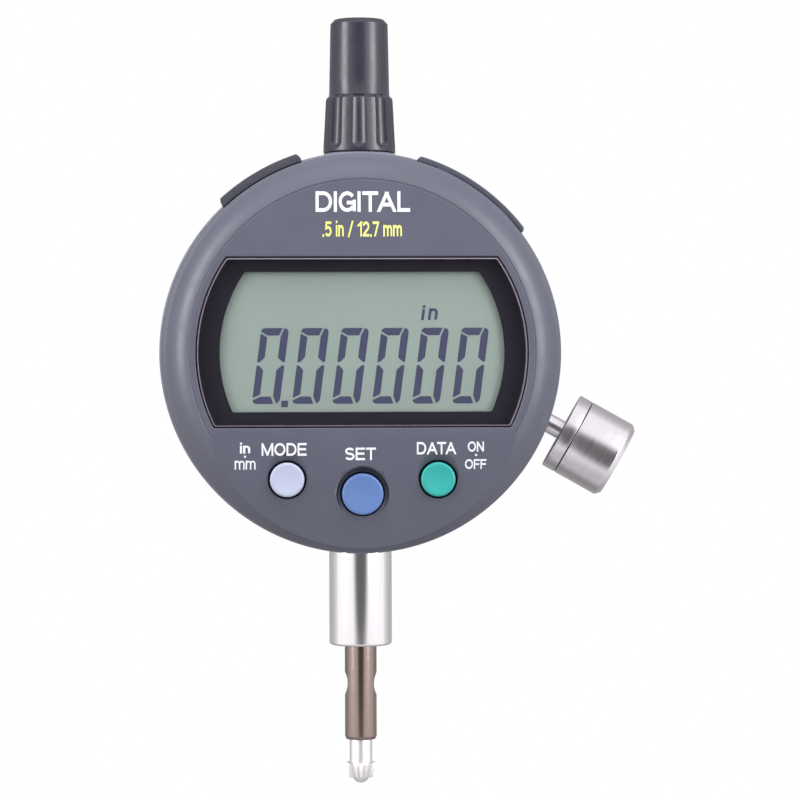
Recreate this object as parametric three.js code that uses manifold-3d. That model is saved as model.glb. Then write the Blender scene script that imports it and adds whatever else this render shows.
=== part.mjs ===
// Digital dial indicator with a 12.7 mm (1/2 in) stroke and a 9.525 mm (3/8 in) stem, as an assembly of
// separate pieces. Millimetres. +Z points up along the spindle, +Y points to the back, and the display
// faces -Y. The origin is on the spindle's axis, halfway along the stem's clamping length. Most pieces are
// modelled round the centre of the round body, in a group that stands BODY_CENTRE_Z above the origin.
import * as THREE from "three";
import { mergeVertices } from "three/addons/utils/BufferGeometryUtils.js";
import Module from "manifold-3d";

// ---------------------------------------------------------------- driving dimensions
const GAP = 0.3; // between pieces that don't run in each other
const SLIP = 0.05; // radial clearance of a running or pressed fit
const PAST = 1; // how far a cutter runs past the face it cuts

// The stem, spindle and contact point, heights from the body's centre
const STEM_R = 9.525 / 2;
const STEM_BOTTOM = -44.4;
const STEM_SHOULDER = -29.75;
const STEM_TOP = -22.6;
const STEM_NECK_R = 4.0;
const BODY_CENTRE_Z = -(STEM_BOTTOM + -30.2) / 2;
const SPINDLE_R = 2.43;
const SPINDLE_BOTTOM = -58.8;
const SPINDLE_TOP = 35.5;
const CONTACT_TIP = -65.6;
const BALL_R = 1.3;
const GUIDE_BORE_R = SPINDLE_R + 0.07;

// The round body: the display unit in front turns on the case behind
const DISPLAY_R = 29.4;
const DISPLAY_WALL_R = 27.7;
const CASE_R = 30.2;
const CASE_INNER_R = 27.0;
const FRONT_Y = -17.2;
const DISPLAY_REAR_Y = -6.5;
const CASE_FRONT_Y = -6.2;
const CASE_FLOOR_Y = -4.7;
const LEDGE_Y = 6.1;
const COVER_SEAT_R = 28.5;
const BACK_Y = 8.2;
const SPIGOT_R = 13.0;
const SPIGOT_BORE_R = 11.0;

// The face: a flat disc with a convex rim, a window, and a lower part that rolls back
const FACE_R = 25.5;
const RIM = { middleR: 27.35, middleY: -16.7, shoulderR: 28.75, shoulderY: -14.6, edgeY: -14.05 };
const ROLL_START_Z = -12.0;
const ROLL_SLOPE = 0.05;
const ROLL_CURVE = 150.0;
const WINDOW = { radius: 24.4, top: 14.1, bottom: -10.9 };
const VIEW = { radius: 20.9, top: 11.9, bottom: -8.65 };

// Buttons: place, radius, and how far each stands out of the face
const BUTTONS = [
  { name: "mode", x: -11.07, z: -18.55, radius: 2.6, proud: 0.5, colour: 0xd4d6ee },
  { name: "set", x: 0, z: -20.7, radius: 3.1, proud: 0.35, colour: 0x5a86cc },
  { name: "data", x: 11.07, z: -18.55, radius: 2.6, proud: 0.5, colour: 0x2fbfae },
];
const BUTTON_FLANGE_Y = -13.0;
const SET_DISH_R = 3.85;

// Fasteners
const BOSS_RING_R = 25.0;
const BOSS_ANGLES = [90, 222, 318];
const BACK_SCREW_RING_R = 24.6;
const BACK_SCREW_ANGLES = [15, 165, 225, 315];

// The lifting lever: its line passes LEVER_OFFSET from the body's centre, and it tilts about LEVER_PIVOT.
// Outside the case it leans towards the front.
const LEVER_ANGLE = 29.5;
const LEVER_LEAN = 5;
const LEVER_OFFSET = 4.8;
const LEVER_PIVOT_ALONG = 26.0;
const LEVER_SHAFT_R = 1.47;
const LEVER_HUB_R = 2.3;
const LEVER_PIN_R = 1.1;
const BLADE = { y0: 3.3, y1: 4.5, wide: -24, tip: -38.5, slotStart: -27.3 };
const KNOB = { radius: 6.05, inner: 6.54, outer: 16.4, ring: 2.1, gap: 0.16 };

// The battery tray and the data socket, at their angles above +X round the display unit
const TRAY = { angle: 55.3, halfSpan: 18.5, outerR: 30.3, halfWidth: 6.4, cellAt: 23.2, y0: -13.5, y1: -8 };
const CELL = { radius: 5.8, height: 5.4, y0: -13.75 };
const PORT = { angle: 120.3, halfSpan: 13, outerR: 30.9, halfWidth: 5.2, slotY0: -9.75, slotY1: -8.55 };
const COVER_Y0 = -13.4;
const COVER_Y1 = -7.0;

// The cap over the spindle's top end
const CAP = {
  bottom: 30.4,
  bottomR: 5.5,
  shoulder: 38.9,
  shoulderR: 5.1,
  neckR: 4.58,
  top: 50.6,
  topR: 4.35,
};
const CAP_FLUTES = 9;

// The mounting lug on the back plate
const LUG = { thickness: 6.35, halfHeight: 6.35, holeR: 3.175, holeY: 15.5 };

const LARGE = 40; // facets round a big circle
const MEDIUM = 20;
const SMALL = 12;
const ARC = 7; // steps along half of a curve in an outline

// ---------------------------------------------------------------- helpers
const wasm = await Module();
wasm.setup();
const rad = THREE.MathUtils.degToRad;

const materials = {
  body: new THREE.MeshStandardMaterial({ color: 0x5b5d6b, roughness: 0.55, metalness: 0.0 }),
  cap: new THREE.MeshStandardMaterial({ color: 0x3b3a45, roughness: 0.45, metalness: 0.0 }),
  black: new THREE.MeshStandardMaterial({ color: 0x25242b, roughness: 0.3, metalness: 0.0 }),
  lens: new THREE.MeshStandardMaterial({ color: 0xe8eef0, roughness: 0, transparent: true, opacity: 0.3 }),
  lcd: new THREE.MeshStandardMaterial({ color: 0x9aa89c, roughness: 0.4, metalness: 0.0 }),
  board: new THREE.MeshStandardMaterial({ color: 0x1e5a3a, roughness: 0.5, metalness: 0.0 }),
  rubber: new THREE.MeshStandardMaterial({ color: 0x2c2c33, roughness: 0.8, metalness: 0.0 }),
  steel: new THREE.MeshStandardMaterial({ color: 0xc8c6ca, roughness: 0.3, metalness: 1.0 }),
  spindle: new THREE.MeshStandardMaterial({ color: 0x8a7c74, roughness: 0.3, metalness: 1.0 }),
  bright: new THREE.MeshStandardMaterial({ color: 0xe4e2e4, roughness: 0.15, metalness: 1.0 }),
  brass: new THREE.MeshStandardMaterial({ color: 0xc8a45a, roughness: 0.35, metalness: 1.0 }),
  castMetal: new THREE.MeshStandardMaterial({ color: 0x565865, roughness: 0.6, metalness: 0.3 }),
};

// A closed geometry as a manifold-3d solid, facing outwards whichever way round it was drawn.
function solid(geometry) {
  const flat = geometry.index ? geometry.toNonIndexed() : geometry;
  const bare = new THREE.BufferGeometry().setAttribute("position", flat.getAttribute("position"));
  const merged = mergeVertices(bare, 1e-4);
  const kept = [];
  for (let i = 0; i < merged.index.count; i += 3) {
    const [a, b, c] = [0, 1, 2].map((k) => merged.index.getX(i + k));
    if (a !== b && b !== c && c !== a) kept.push(a, b, c);
  }
  const build = (corners) =>
    new wasm.Manifold(
      new wasm.Mesh({
        numProp: 3,
        vertProperties: new Float32Array(merged.attributes.position.array),
        triVerts: new Uint32Array(corners),
      }),
    );
  const made = build(kept);
  return made.volume() < 0 ? build(kept.reverse()) : made;
}

const join = (first, ...rest) => rest.reduce((all, one) => all.add(one), first);
const cut = (first, ...rest) => rest.reduce((left, one) => left.subtract(one), first);

// A solid as a geometry, for a mesh.
function geometryOf(made) {
  const { vertProperties, triVerts, numProp, numVert } = made.getMesh();
  const points = new Float32Array(numVert * 3);
  for (let i = 0; i < numVert; i++) {
    points.set(vertProperties.subarray(i * numProp, i * numProp + 3), i * 3);
  }
  const geometry = new THREE.BufferGeometry();
  geometry.setAttribute("position", new THREE.BufferAttribute(points, 3));
  geometry.setIndex(new THREE.BufferAttribute(new Uint32Array(triVerts), 1));
  geometry.computeVertexNormals();
  return geometry;
}

function piece(name, material, made) {
  const mesh = new THREE.Mesh(geometryOf(made), material);
  mesh.name = name;
  return mesh;
}

// A body of revolution from [radius, height] pairs. The height runs along Z, or along Y.
function turned(profile, segments = MEDIUM, axis = "z") {
  const points = profile.map(([radius, height]) => new THREE.Vector2(radius, height));
  const geometry = new THREE.LatheGeometry(points, segments);
  if (axis === "z") geometry.rotateX(Math.PI / 2);
  if (axis === "x") geometry.rotateZ(-Math.PI / 2);
  return geometry;
}

const rod = (radius, from, to, segments = MEDIUM, axis = "z") =>
  turned([[0, from], [radius, from], [radius, to], [0, to]], segments, axis);

const tube = (inner, outer, from, to, segments = MEDIUM, axis = "z") =>
  turned([[inner, from], [outer, from], [outer, to], [inner, to], [inner, from]], segments, axis);

const sphere = (radius) => new THREE.SphereGeometry(radius, SMALL, 12).rotateX(Math.PI / 2);

function block(x0, x1, y0, y1, z0, z1) {
  const geometry = new THREE.BoxGeometry(x1 - x0, y1 - y0, z1 - z0);
  return geometry.translate((x0 + x1) / 2, (y0 + y1) / 2, (z0 + z1) / 2);
}

// An outline in the X-Z plane as a plate from y0 to y1.
function plate(shape, y0, y1, curveSegments = ARC) {
  const geometry = new THREE.ExtrudeGeometry(shape, { depth: y1 - y0, bevelEnabled: false, curveSegments });
  return geometry.rotateX(Math.PI / 2).translate(0, y1, 0);
}

// An outline in the Y-Z plane as a bar from x0 to x1.
function bar(shape, x0, x1, curveSegments = ARC) {
  const geometry = new THREE.ExtrudeGeometry(shape, { depth: x1 - x0, bevelEnabled: false, curveSegments });
  const [x, y, z] = [new THREE.Vector3(1, 0, 0), new THREE.Vector3(0, 1, 0), new THREE.Vector3(0, 0, 1)];
  return geometry.applyMatrix4(new THREE.Matrix4().makeBasis(y, z, x)).translate(x0, 0, 0);
}

const polygon = (points) => new THREE.Shape(points.map(([a, b]) => new THREE.Vector2(a, b)));

// A disc cut off straight above and below, which is the outline of the window and of what lies behind it.
function bandedDisc({ radius, top, bottom }, grow = 0) {
  const r = radius + grow;
  const [low, high] = [Math.asin((bottom - grow) / r), Math.asin((top + grow) / r)];
  const shape = new THREE.Shape();
  shape.absarc(0, 0, r, low, high, false);
  shape.absarc(0, 0, r, Math.PI - high, Math.PI - low, false);
  return shape;
}

// A sector of a ring, centred on +X, for covers that follow the body's side.
function ringSector(inner, outer, halfAngle) {
  const shape = new THREE.Shape();
  shape.absarc(0, 0, outer, -rad(halfAngle), rad(halfAngle), false);
  shape.absarc(0, 0, inner, rad(halfAngle), -rad(halfAngle), true);
  return shape;
}

// Turns a geometry so that its +X points at an angle above the body's +X.
const towards = (geometry, degrees) => geometry.rotateY(-rad(degrees));
const onRing = (radius, degrees) => [radius * Math.cos(rad(degrees)), radius * Math.sin(rad(degrees))];
const rodAt = (x, z, radius, y0, y1, segments = SMALL) =>
  rod(radius, y0, y1, segments, "y").translate(x, 0, z);
const solidTowards = (made, degrees) => made.rotate([0, -degrees, 0]);

// The battery tray's outline, which also cuts the room it slides in: round inside, straight outwards.
const TRAY_CENTRE = onRing(TRAY.cellAt, TRAY.angle);
function trayOutline(grow, y0, y1, end = 33) {
  const half = TRAY.halfWidth + grow;
  const straight = solid(towards(block(TRAY.cellAt, end, y0, y1, -half, half), TRAY.angle));
  return join(solid(rodAt(...TRAY_CENTRE, half, y0, y1, MEDIUM)), straight);
}

// How far the face has rolled back at a height.
function rollBack(z) {
  const below = Math.max(0, ROLL_START_Z - z);
  return ROLL_SLOPE * below + below ** 2 / ROLL_CURVE;
}

// ---------------------------------------------------------------- display unit
// The convex rim from the face's edge to the body's side, as [radius, y] pairs.
function rimCurve(steps = 4) {
  const from = new THREE.Vector2(FACE_R, FRONT_Y);
  const middle = new THREE.Vector2(RIM.middleR, RIM.middleY);
  const to = new THREE.Vector2(RIM.shoulderR, RIM.shoulderY);
  const curve = new THREE.QuadraticBezierCurve(from, middle, to).getPoints(steps).map((p) => [p.x, p.y]);
  return [...curve, [DISPLAY_R, RIM.edgeY]];
}

// Everything in front of the rolled-back lower part of the face.
function rollCutter() {
  const shape = new THREE.Shape();
  const steps = 6;
  const end = -DISPLAY_R - PAST;
  shape.moveTo(FRONT_Y - PAST, ROLL_START_Z);
  for (let i = 0; i <= steps; i++) {
    const z = ROLL_START_Z + ((end - ROLL_START_Z) * i) / steps;
    shape.lineTo(FRONT_Y + rollBack(z), z);
  }
  shape.lineTo(FRONT_Y - PAST, end);
  return solid(bar(shape, -DISPLAY_R - PAST, DISPLAY_R + PAST));
}

function frontCover() {
  const wallY = -13.3;
  const behindFaceY = -15.6;
  const outside = solid(
    turned([[0, FRONT_Y], ...rimCurve(), [DISPLAY_R, DISPLAY_REAR_Y], [0, DISPLAY_REAR_Y]], LARGE, "y"),
  );
  const room = solid(rod(DISPLAY_WALL_R, wallY, DISPLAY_REAR_Y + PAST, LARGE, "y"));
  const behindWindow = solid(
    plate(bandedDisc({ radius: 25.8, top: 25.7, bottom: -12.8 }), behindFaceY, wallY + PAST),
  );
  const windowHole = solid(plate(bandedDisc(WINDOW), FRONT_Y - PAST, wallY));
  const buttonHoles = BUTTONS.map(({ x, z, radius }) =>
    solid(rodAt(x, z, radius + 0.2, FRONT_Y - PAST, wallY + PAST, MEDIUM)),
  );
  const set = BUTTONS.find(({ name }) => name === "set");
  const dishDepth = 0.5;
  const dish = solid(
    rodAt(set.x, set.z, SET_DISH_R, FRONT_Y - PAST, FRONT_Y + rollBack(set.z) + dishDepth, MEDIUM),
  );
  const bosses = BOSS_ANGLES.map((angle) => solid(rodAt(...onRing(BOSS_RING_R, angle), 2, wallY - 1.2, -8)));
  const screwHoles = BOSS_ANGLES.map((angle) => solid(rodAt(...onRing(BOSS_RING_R, angle), 1.0, -12.5, -8)));
  const traySlot = trayOutline(GAP, -14.0, -7.2);
  const portSlot = solid(
    towards(block(27, 32, PORT.slotY0 - 0.1, PORT.slotY1 + 0.1, -PORT.halfWidth - 0.1, PORT.halfWidth + 0.1),
      PORT.angle),
  );
  const shell = join(cut(outside, room, behindWindow), ...bosses);
  return cut(
    shell, rollCutter(), windowHole, dish, traySlot, portSlot, ...buttonHoles, ...screwHoles,
  );
}

function windowLens() {
  return solid(plate(bandedDisc(WINDOW, -GAP), FRONT_Y + 0.3, FRONT_Y + 1.5));
}

// The black border that is seen through the lens, round the viewing area.
function windowMask() {
  const sheet = solid(plate(bandedDisc({ radius: 25.4, top: 15.2, bottom: -12.0 }), -15.3, -14.95));
  return cut(sheet, solid(plate(bandedDisc(VIEW), -16, -14)));
}

// The display's glasses are rectangles with cut corners.
const LCD = { x: 21.4, top: 12.6, bottom: -10.4, corner: 3.3 };

function lcdOutline(bottom = LCD.bottom, grow = 0) {
  const [x, low, high, c] = [LCD.x + grow, bottom - grow, LCD.top + grow, LCD.corner];
  return polygon([
    [-x + c, low],
    [x - c, low],
    [x, low + c],
    [x, high - c],
    [x - c, high],
    [-x + c, high],
    [-x, high - c],
    [-x, low + c],
  ]);
}

function lcdHolder() {
  const outline = { radius: 25.2, top: 15.4, bottom: -11.9 };
  const frame = solid(plate(bandedDisc(outline), -14.8, -11.7));
  return cut(frame, solid(plate(lcdOutline(LCD.bottom, GAP), -15.5, -11)), trayOutline(GAP, -16, -11));
}

// The circuit board carries the display, and is notched round the cover's three screw bosses.
function mainBoard() {
  const disc = solid(rod(27.2, -11.4, -10.4, LARGE, "y"));
  const notches = BOSS_ANGLES.map((angle) => solid(rodAt(...onRing(BOSS_RING_R, angle), 2.4, -12, -10)));
  return cut(disc, trayOutline(GAP, -12, -10), ...notches);
}

// A push-button switch on the board: a square body with a round plunger.
function boardSwitch({ x, z }) {
  const body = solid(block(x - 2.1, x + 2.1, -11.95, -11.45, z - 2.1, z + 2.1));
  return join(body, solid(rodAt(x, z, 0.9, -12.2, -11.6)));
}

function displayBase() {
  const disc = solid(rod(DISPLAY_WALL_R - GAP, -7.7, DISPLAY_REAR_Y, LARGE, "y"));
  const hole = solid(rod(SPIGOT_R + GAP, -9, -5, LARGE, "y"));
  const screwHoles = BOSS_ANGLES.map((angle) => solid(rodAt(...onRing(BOSS_RING_R, angle), 1.1, -9, -5)));
  const headRooms = BOSS_ANGLES.map((angle) => solid(rodAt(...onRing(BOSS_RING_R, angle), 1.9, -7.2, -5)));
  return cut(disc, hole, ...screwHoles, ...headRooms);
}

const baseScrew = () =>
  solid(turned([[0, -11.8], [0.8, -11.8], [0.8, -7.15], [1.7, -7.15], [1.7, -6.6], [0, -6.6]], SMALL, "y"));

// A button's cap, with a flange that stops it in its hole.
function buttonCap({ z, radius, proud }) {
  const top = FRONT_Y + rollBack(z) - proud;
  const edge = 0.35;
  const flangeR = radius + 0.8;
  return solid(
    turned(
      [
        [0, top],
        [radius - edge, top],
        [radius - 0.1, top + 0.1],
        [radius, top + edge],
        [radius, BUTTON_FLANGE_Y],
        [flangeR, BUTTON_FLANGE_Y],
        [flangeR, BUTTON_FLANGE_Y + 0.3],
        [0, BUTTON_FLANGE_Y + 0.3],
      ],
      MEDIUM,
      "y",
    ),
  );
}

function displayUnit() {
  const group = new THREE.Group();
  group.add(
    piece("front_cover", materials.body, frontCover()),
    piece("window_lens", materials.lens, windowLens()),
    piece("window_mask", materials.black, windowMask()),
    piece("lcd_front_glass", materials.lcd, solid(plate(lcdOutline(-9.2), -14.6, -13.85))),
    piece("lcd_rear_glass", materials.lcd, solid(plate(lcdOutline(), -13.8, -13.05))),
    piece("lcd_holder", materials.black, lcdHolder()),
    piece("contact_strip_lower", materials.rubber, solid(block(-18, 18, -12.95, -11.45, -10.2, -8.6))),
    piece("contact_strip_upper", materials.rubber, solid(block(-16, 16, -12.95, -11.45, 10.9, 12.2))),
    piece("main_board", materials.board, mainBoard()),
    piece("processor_chip", materials.black, solid(block(-16, -8, -10.35, -9.35, -6, 2))),
    piece("display_base", materials.body, displayBase()),
  );
  for (const button of BUTTONS) {
    group.add(piece(button.name + "_switch", materials.black, boardSwitch(button)));
    const cap = piece(
      button.name + "_button",
      new THREE.MeshStandardMaterial({ color: button.colour, roughness: 0.45 }),
      buttonCap(button),
    );
    cap.position.set(button.x, 0, button.z);
    group.add(cap);
  }
  BOSS_ANGLES.forEach((angle, i) => {
    const screw = piece("base_screw_" + (i + 1), materials.steel, baseScrew());
    const [x, z] = onRing(BOSS_RING_R, angle);
    screw.position.set(x, 0, z);
    group.add(screw);
  });
  return group;
}

// ---------------------------------------------------------------- lever geometry, shared with the case
const [leverDirX, leverDirZ] = [Math.cos(rad(LEVER_ANGLE)), -Math.sin(rad(LEVER_ANGLE))];
const LEVER_PIVOT = {
  x: LEVER_OFFSET * -leverDirZ + LEVER_PIVOT_ALONG * leverDirX,
  z: LEVER_OFFSET * leverDirX + LEVER_PIVOT_ALONG * leverDirZ,
};
const LIFT_PIN_Z = LEVER_PIVOT.z + LEVER_PIVOT.x * Math.tan(rad(LEVER_ANGLE));

// Moves a geometry made along the lever, with +X outwards and its pivot at the origin, into the body.
const alongLever = (geometry) => towards(geometry, -LEVER_ANGLE).translate(LEVER_PIVOT.x, 0, LEVER_PIVOT.z);

// ---------------------------------------------------------------- case
function caseShell() {
  const edge = 1.2;
  const outside = solid(
    turned(
      [
        [0, CASE_FRONT_Y],
        [CASE_R - 0.3, CASE_FRONT_Y],
        [CASE_R, CASE_FRONT_Y + 0.3],
        [CASE_R, BACK_Y - edge],
        [CASE_R - 0.35, BACK_Y - 0.35],
        [CASE_R - edge, BACK_Y],
        [0, BACK_Y],
      ],
      LARGE,
      "y",
    ),
  );
  const room = solid(
    turned(
      [
        [0, CASE_FLOOR_Y],
        [CASE_INNER_R, CASE_FLOOR_Y],
        [CASE_INNER_R, LEDGE_Y],
        [COVER_SEAT_R, LEDGE_Y],
        [COVER_SEAT_R, BACK_Y + PAST],
        [0, BACK_Y + PAST],
      ],
      LARGE,
      "y",
    ),
  );
  return cut(outside, room);
}

function caseBody() {
  const spigotEnd = -7.95;
  const spigot = solid(tube(SPIGOT_BORE_R, SPIGOT_R, spigotEnd, CASE_FRONT_Y + 0.2, LARGE, "y"));
  const capSeat = solid(rod(5.5, 27.5, CAP.bottom - 0.1, MEDIUM));
  const topBoss = solid(block(-6, 6, CASE_FLOOR_Y - 0.2, 5.2, 24, 27.5));
  const bottomBoss = solid(block(-7, 7, CASE_FLOOR_Y - 0.2, 5.2, -27.5, -22));
  const pillars = BACK_SCREW_ANGLES.map((angle) =>
    solid(rodAt(...onRing(BACK_SCREW_RING_R, angle), 2.6, CASE_FLOOR_Y - 0.2, LEDGE_Y)),
  );
  const whole = join(caseShell(), spigot, capSeat, topBoss, bottomBoss, ...pillars);

  const cableHole = solid(rod(8, -9, -4, MEDIUM, "y"));
  const ringGroove = solid(tube(19.9, 21.1, CASE_FRONT_Y - PAST, CASE_FRONT_Y + 0.9, LARGE, "y"));
  const bushHole = solid(rod(3.9 + SLIP, 23, 31));
  const stemHole = solid(rod(STEM_NECK_R + SLIP, -31, -21));
  const stemSeat = solid(rod(STEM_R + 0.2, -31, STEM_SHOULDER + 0.1));
  const slotLow = -(LEVER_SHAFT_R + 1.7);
  const leverSlot = solid(alongLever(block(-2, 6, -2.3, 1.9, slotLow, LEVER_SHAFT_R + 0.4)));
  const pocketR = LEVER_HUB_R + 0.4;
  const leverPocket = solid(rodAt(LEVER_PIVOT.x, LEVER_PIVOT.z, pocketR, CASE_FLOOR_Y, LEDGE_Y + 0.1));
  const screwHoles = BACK_SCREW_ANGLES.map((angle) =>
    solid(rodAt(...onRing(BACK_SCREW_RING_R, angle), 1.35, 0, LEDGE_Y + PAST)),
  );
  return cut(
    whole, cableHole, ringGroove, bushHole, stemHole, stemSeat, leverSlot, leverPocket, ...screwHoles,
  );
}

// The disc and its lug are one casting. The lug is a flat tongue with a round end and a cross hole.
function backPlate() {
  const frontY = LEDGE_Y + 0.4;
  const disc = solid(rod(28.2, frontY, BACK_Y, LARGE, "y"));
  const outline = new THREE.Shape();
  outline.moveTo(BACK_Y - 0.5, -LUG.halfHeight);
  outline.lineTo(LUG.holeY, -LUG.halfHeight);
  outline.absarc(LUG.holeY, 0, LUG.halfHeight, -Math.PI / 2, Math.PI / 2, false);
  outline.lineTo(BACK_Y - 0.5, LUG.halfHeight);
  const hole = new THREE.Path();
  hole.absarc(LUG.holeY, 0, LUG.holeR, 0, Math.PI * 2, true);
  outline.holes.push(hole);
  const lug = solid(bar(outline, -LUG.thickness / 2, LUG.thickness / 2));
  const screwHoles = BACK_SCREW_ANGLES.map((angle) =>
    solid(rodAt(...onRing(BACK_SCREW_RING_R, angle), 1.5, 5, 9)),
  );
  const headRooms = BACK_SCREW_ANGLES.map((angle) =>
    solid(rodAt(...onRing(BACK_SCREW_RING_R, angle), 2.5, BACK_Y - 0.9, 9)),
  );
  return cut(join(disc, lug), ...screwHoles, ...headRooms);
}

// A cross-recessed screw whose head lies in the back plate.
function backScrew() {
  const headY = BACK_Y - 0.85;
  const body = solid(
    turned([[0, 1], [1.15, 1], [1.15, headY], [2.3, headY], [2.3, 7.9], [1.9, 8.15], [0, 8.15]], SMALL, "y"),
  );
  const recess = [0, 90].map((turn) => solid(block(-1.2, 1.2, 7.6, 9, -0.25, 0.25).rotateY(rad(turn))));
  return cut(body, ...recess);
}

function stem() {
  const chamfer = 0.45;
  return solid(
    turned(
      [
        [3.4 + SLIP, STEM_BOTTOM],
        [STEM_R - chamfer, STEM_BOTTOM],
        [STEM_R, STEM_BOTTOM + chamfer],
        [STEM_R, STEM_SHOULDER],
        [STEM_NECK_R, STEM_SHOULDER],
        [STEM_NECK_R, STEM_TOP],
        [2.9, STEM_TOP],
        [2.9, -37.9],
        [3.4 + SLIP, -37.9],
        [3.4 + SLIP, STEM_BOTTOM],
      ],
      MEDIUM,
    ),
  );
}

// The upper bush guides the spindle, and its threaded neck carries the cap.
function upperBush() {
  return join(solid(tube(GUIDE_BORE_R, 3.9, 24, 30.2)), solid(tube(GUIDE_BORE_R, 3.6, 30, 36)));
}

// The flanged ring in the spigot keeps the display unit on the case.
function displayRetainer() {
  return solid(
    turned(
      [[9.2, -8.95], [15.2, -8.95], [15.2, -8.25], [10.7, -8.25], [10.7, -6.5], [9.2, -6.5], [9.2, -8.95]],
      LARGE,
      "y",
    ),
  );
}

// A flat cable wound in a loose coil, so that the display unit can turn without pulling it.
function flexCable() {
  const turns = 2.25;
  const steps = 32;
  const thickness = 0.2;
  const edge = (offset) =>
    Array.from({ length: steps + 1 }, (_, i) => {
      const angle = (i / steps) * turns * 2 * Math.PI;
      const radius = 3 + (i / steps) * 4 + offset;
      return [radius * Math.cos(angle), radius * Math.sin(angle)];
    });
  return solid(plate(polygon([...edge(thickness), ...edge(0).reverse()]), -8.6, -5.2));
}

// The rail that keeps the spindle from turning: the scale holder's tongue runs in its groove.
function guideRail() {
  const body = solid(block(-10.4, -6.6, -2.6, 2.6, -12, 23.5));
  return cut(body, solid(block(-8.7, -6, -1.1, 1.1, -13, 25)));
}

function caseGroup() {
  const group = new THREE.Group();
  group.add(
    piece("case_body", materials.castMetal, caseBody()),
    piece("back_plate", materials.castMetal, backPlate()),
    piece("back_gasket", materials.rubber, solid(tube(27.2, 28.3, 6.15, 6.45, LARGE, "y"))),
    piece("stem", materials.bright, stem()),
    piece("stem_bush", materials.brass, solid(tube(GUIDE_BORE_R, 3.4, -44.2, -38, MEDIUM))),
    piece("upper_bush", materials.steel, upperBush()),
    piece("display_retainer", materials.steel, displayRetainer()),
    piece("friction_ring", materials.rubber, solid(tube(20.05, 20.95, -6.35, -5.35, LARGE, "y"))),
    piece("flex_cable", materials.board, flexCable()),
    piece("reading_head", materials.board, solid(block(-6.2, 6.2, -4.5, -3.75, -8, 22))),
    piece("guide_rail", materials.steel, guideRail()),
    piece("rest_bumper", materials.rubber, solid(tube(2.8, 4.4, -21.95, -20.35, MEDIUM))),
    piece("spring_post", materials.steel, solid(rodAt(8.6, -18.6, 0.6, CASE_FLOOR_Y + 0.05, 2.4))),
    piece(
      "lever_pivot_pin",
      materials.steel,
      solid(rodAt(LEVER_PIVOT.x, LEVER_PIVOT.z, LEVER_PIN_R, CASE_FLOOR_Y + 0.05, 6.05)),
    ),
  );
  BACK_SCREW_ANGLES.forEach((angle, i) => {
    const screw = piece("back_screw_" + (i + 1), materials.steel, backScrew());
    const [x, z] = onRing(BACK_SCREW_RING_R, angle);
    screw.position.set(x, 0, z);
    group.add(screw);
  });
  return group;
}

// ---------------------------------------------------------------- spindle and what moves with it
function spindle() {
  const chamfer = 0.35;
  const wholeRod = solid(
    turned(
      [
        [0, SPINDLE_BOTTOM],
        [SPINDLE_R - chamfer, SPINDLE_BOTTOM],
        [SPINDLE_R, SPINDLE_BOTTOM + chamfer],
        [SPINDLE_R, SPINDLE_TOP - chamfer],
        [SPINDLE_R - chamfer, SPINDLE_TOP],
        [0, SPINDLE_TOP],
      ],
      MEDIUM,
    ),
  );
  const notch = { z: -50.4, depth: 0.45, radius: 3.8 };
  const away = SPINDLE_R - notch.depth + notch.radius;
  const notches = [-away, away].map((x) => solid(rodAt(x, notch.z, notch.radius, -4, 4, LARGE)));
  const contactThread = solid(rod(1.3, SPINDLE_BOTTOM - PAST, -54.2, SMALL));
  const topThread = solid(rod(0.8, SPINDLE_TOP - 3, SPINDLE_TOP + PAST, SMALL));
  return cut(wholeRod, ...notches, contactThread, topThread);
}

// A threaded stud, a neck, and a serrated collar that tapers to the ball.
function contactPoint() {
  const body = solid(
    turned(
      [
        [0, -54.5],
        [1.2, -54.5],
        [1.2, SPINDLE_BOTTOM - 0.1],
        [1.72, SPINDLE_BOTTOM - 0.1],
        [1.72, -62.4],
        [2.35, -62.55],
        [1.85, -64.7],
        [0, -64.7],
      ],
      MEDIUM,
    ),
  );
  const seatR = BALL_R + SLIP;
  const ballSeat = solid(sphere(seatR).translate(0, 0, CONTACT_TIP + BALL_R));
  const teeth = 14;
  const serrations = Array.from({ length: teeth }, (_, i) =>
    solid(rod(0.22, -66, -62, 6).translate(2.42, 0, 0).rotateZ((i * 2 * Math.PI) / teeth)),
  );
  return cut(body, ballSeat, ...serrations);
}

const contactBall = () => solid(sphere(BALL_R).translate(0, 0, CONTACT_TIP + BALL_R));

// The block that clamps the scale, the lift pin and the spring to the spindle.
function scaleHolder() {
  const body = solid(block(-5, 5, -2.85, 2.95, -2.5, 10.5));
  const tongue = solid(block(-8.3, -4.9, -0.8, 0.8, 0, 6));
  const springArm = solid(block(4.9, 10, -1.2, 1.2, -2.5, -1.2));
  const spindleHole = solid(rod(SPINDLE_R + SLIP, -4, 12));
  const pinHole = solid(rodAt(0, LIFT_PIN_Z, 1 + SLIP, 2, 4));
  return cut(join(body, tongue, springArm), spindleHole, pinHole);
}

// A coil spring that pulls the holder down, from the post to the holder's arm.
function returnSpring() {
  const coil = { x: 8.6, radius: 1.5, wire: 0.28, turns: 12, bottom: -17.2, top: -3.6 };
  class Helix extends THREE.Curve {
    getPoint(t, target = new THREE.Vector3()) {
      const angle = t * coil.turns * 2 * Math.PI;
      const z = coil.bottom + t * (coil.top - coil.bottom);
      return target.set(coil.x + coil.radius * Math.cos(angle), coil.radius * Math.sin(angle), z);
    }
  }
  const section = new THREE.Shape();
  section.absarc(0, 0, coil.wire, 0, Math.PI * 2, false);
  const sweep = { extrudePath: new Helix(), steps: coil.turns * 8, curveSegments: 3 };
  return solid(new THREE.ExtrudeGeometry(section, sweep));
}

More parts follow.
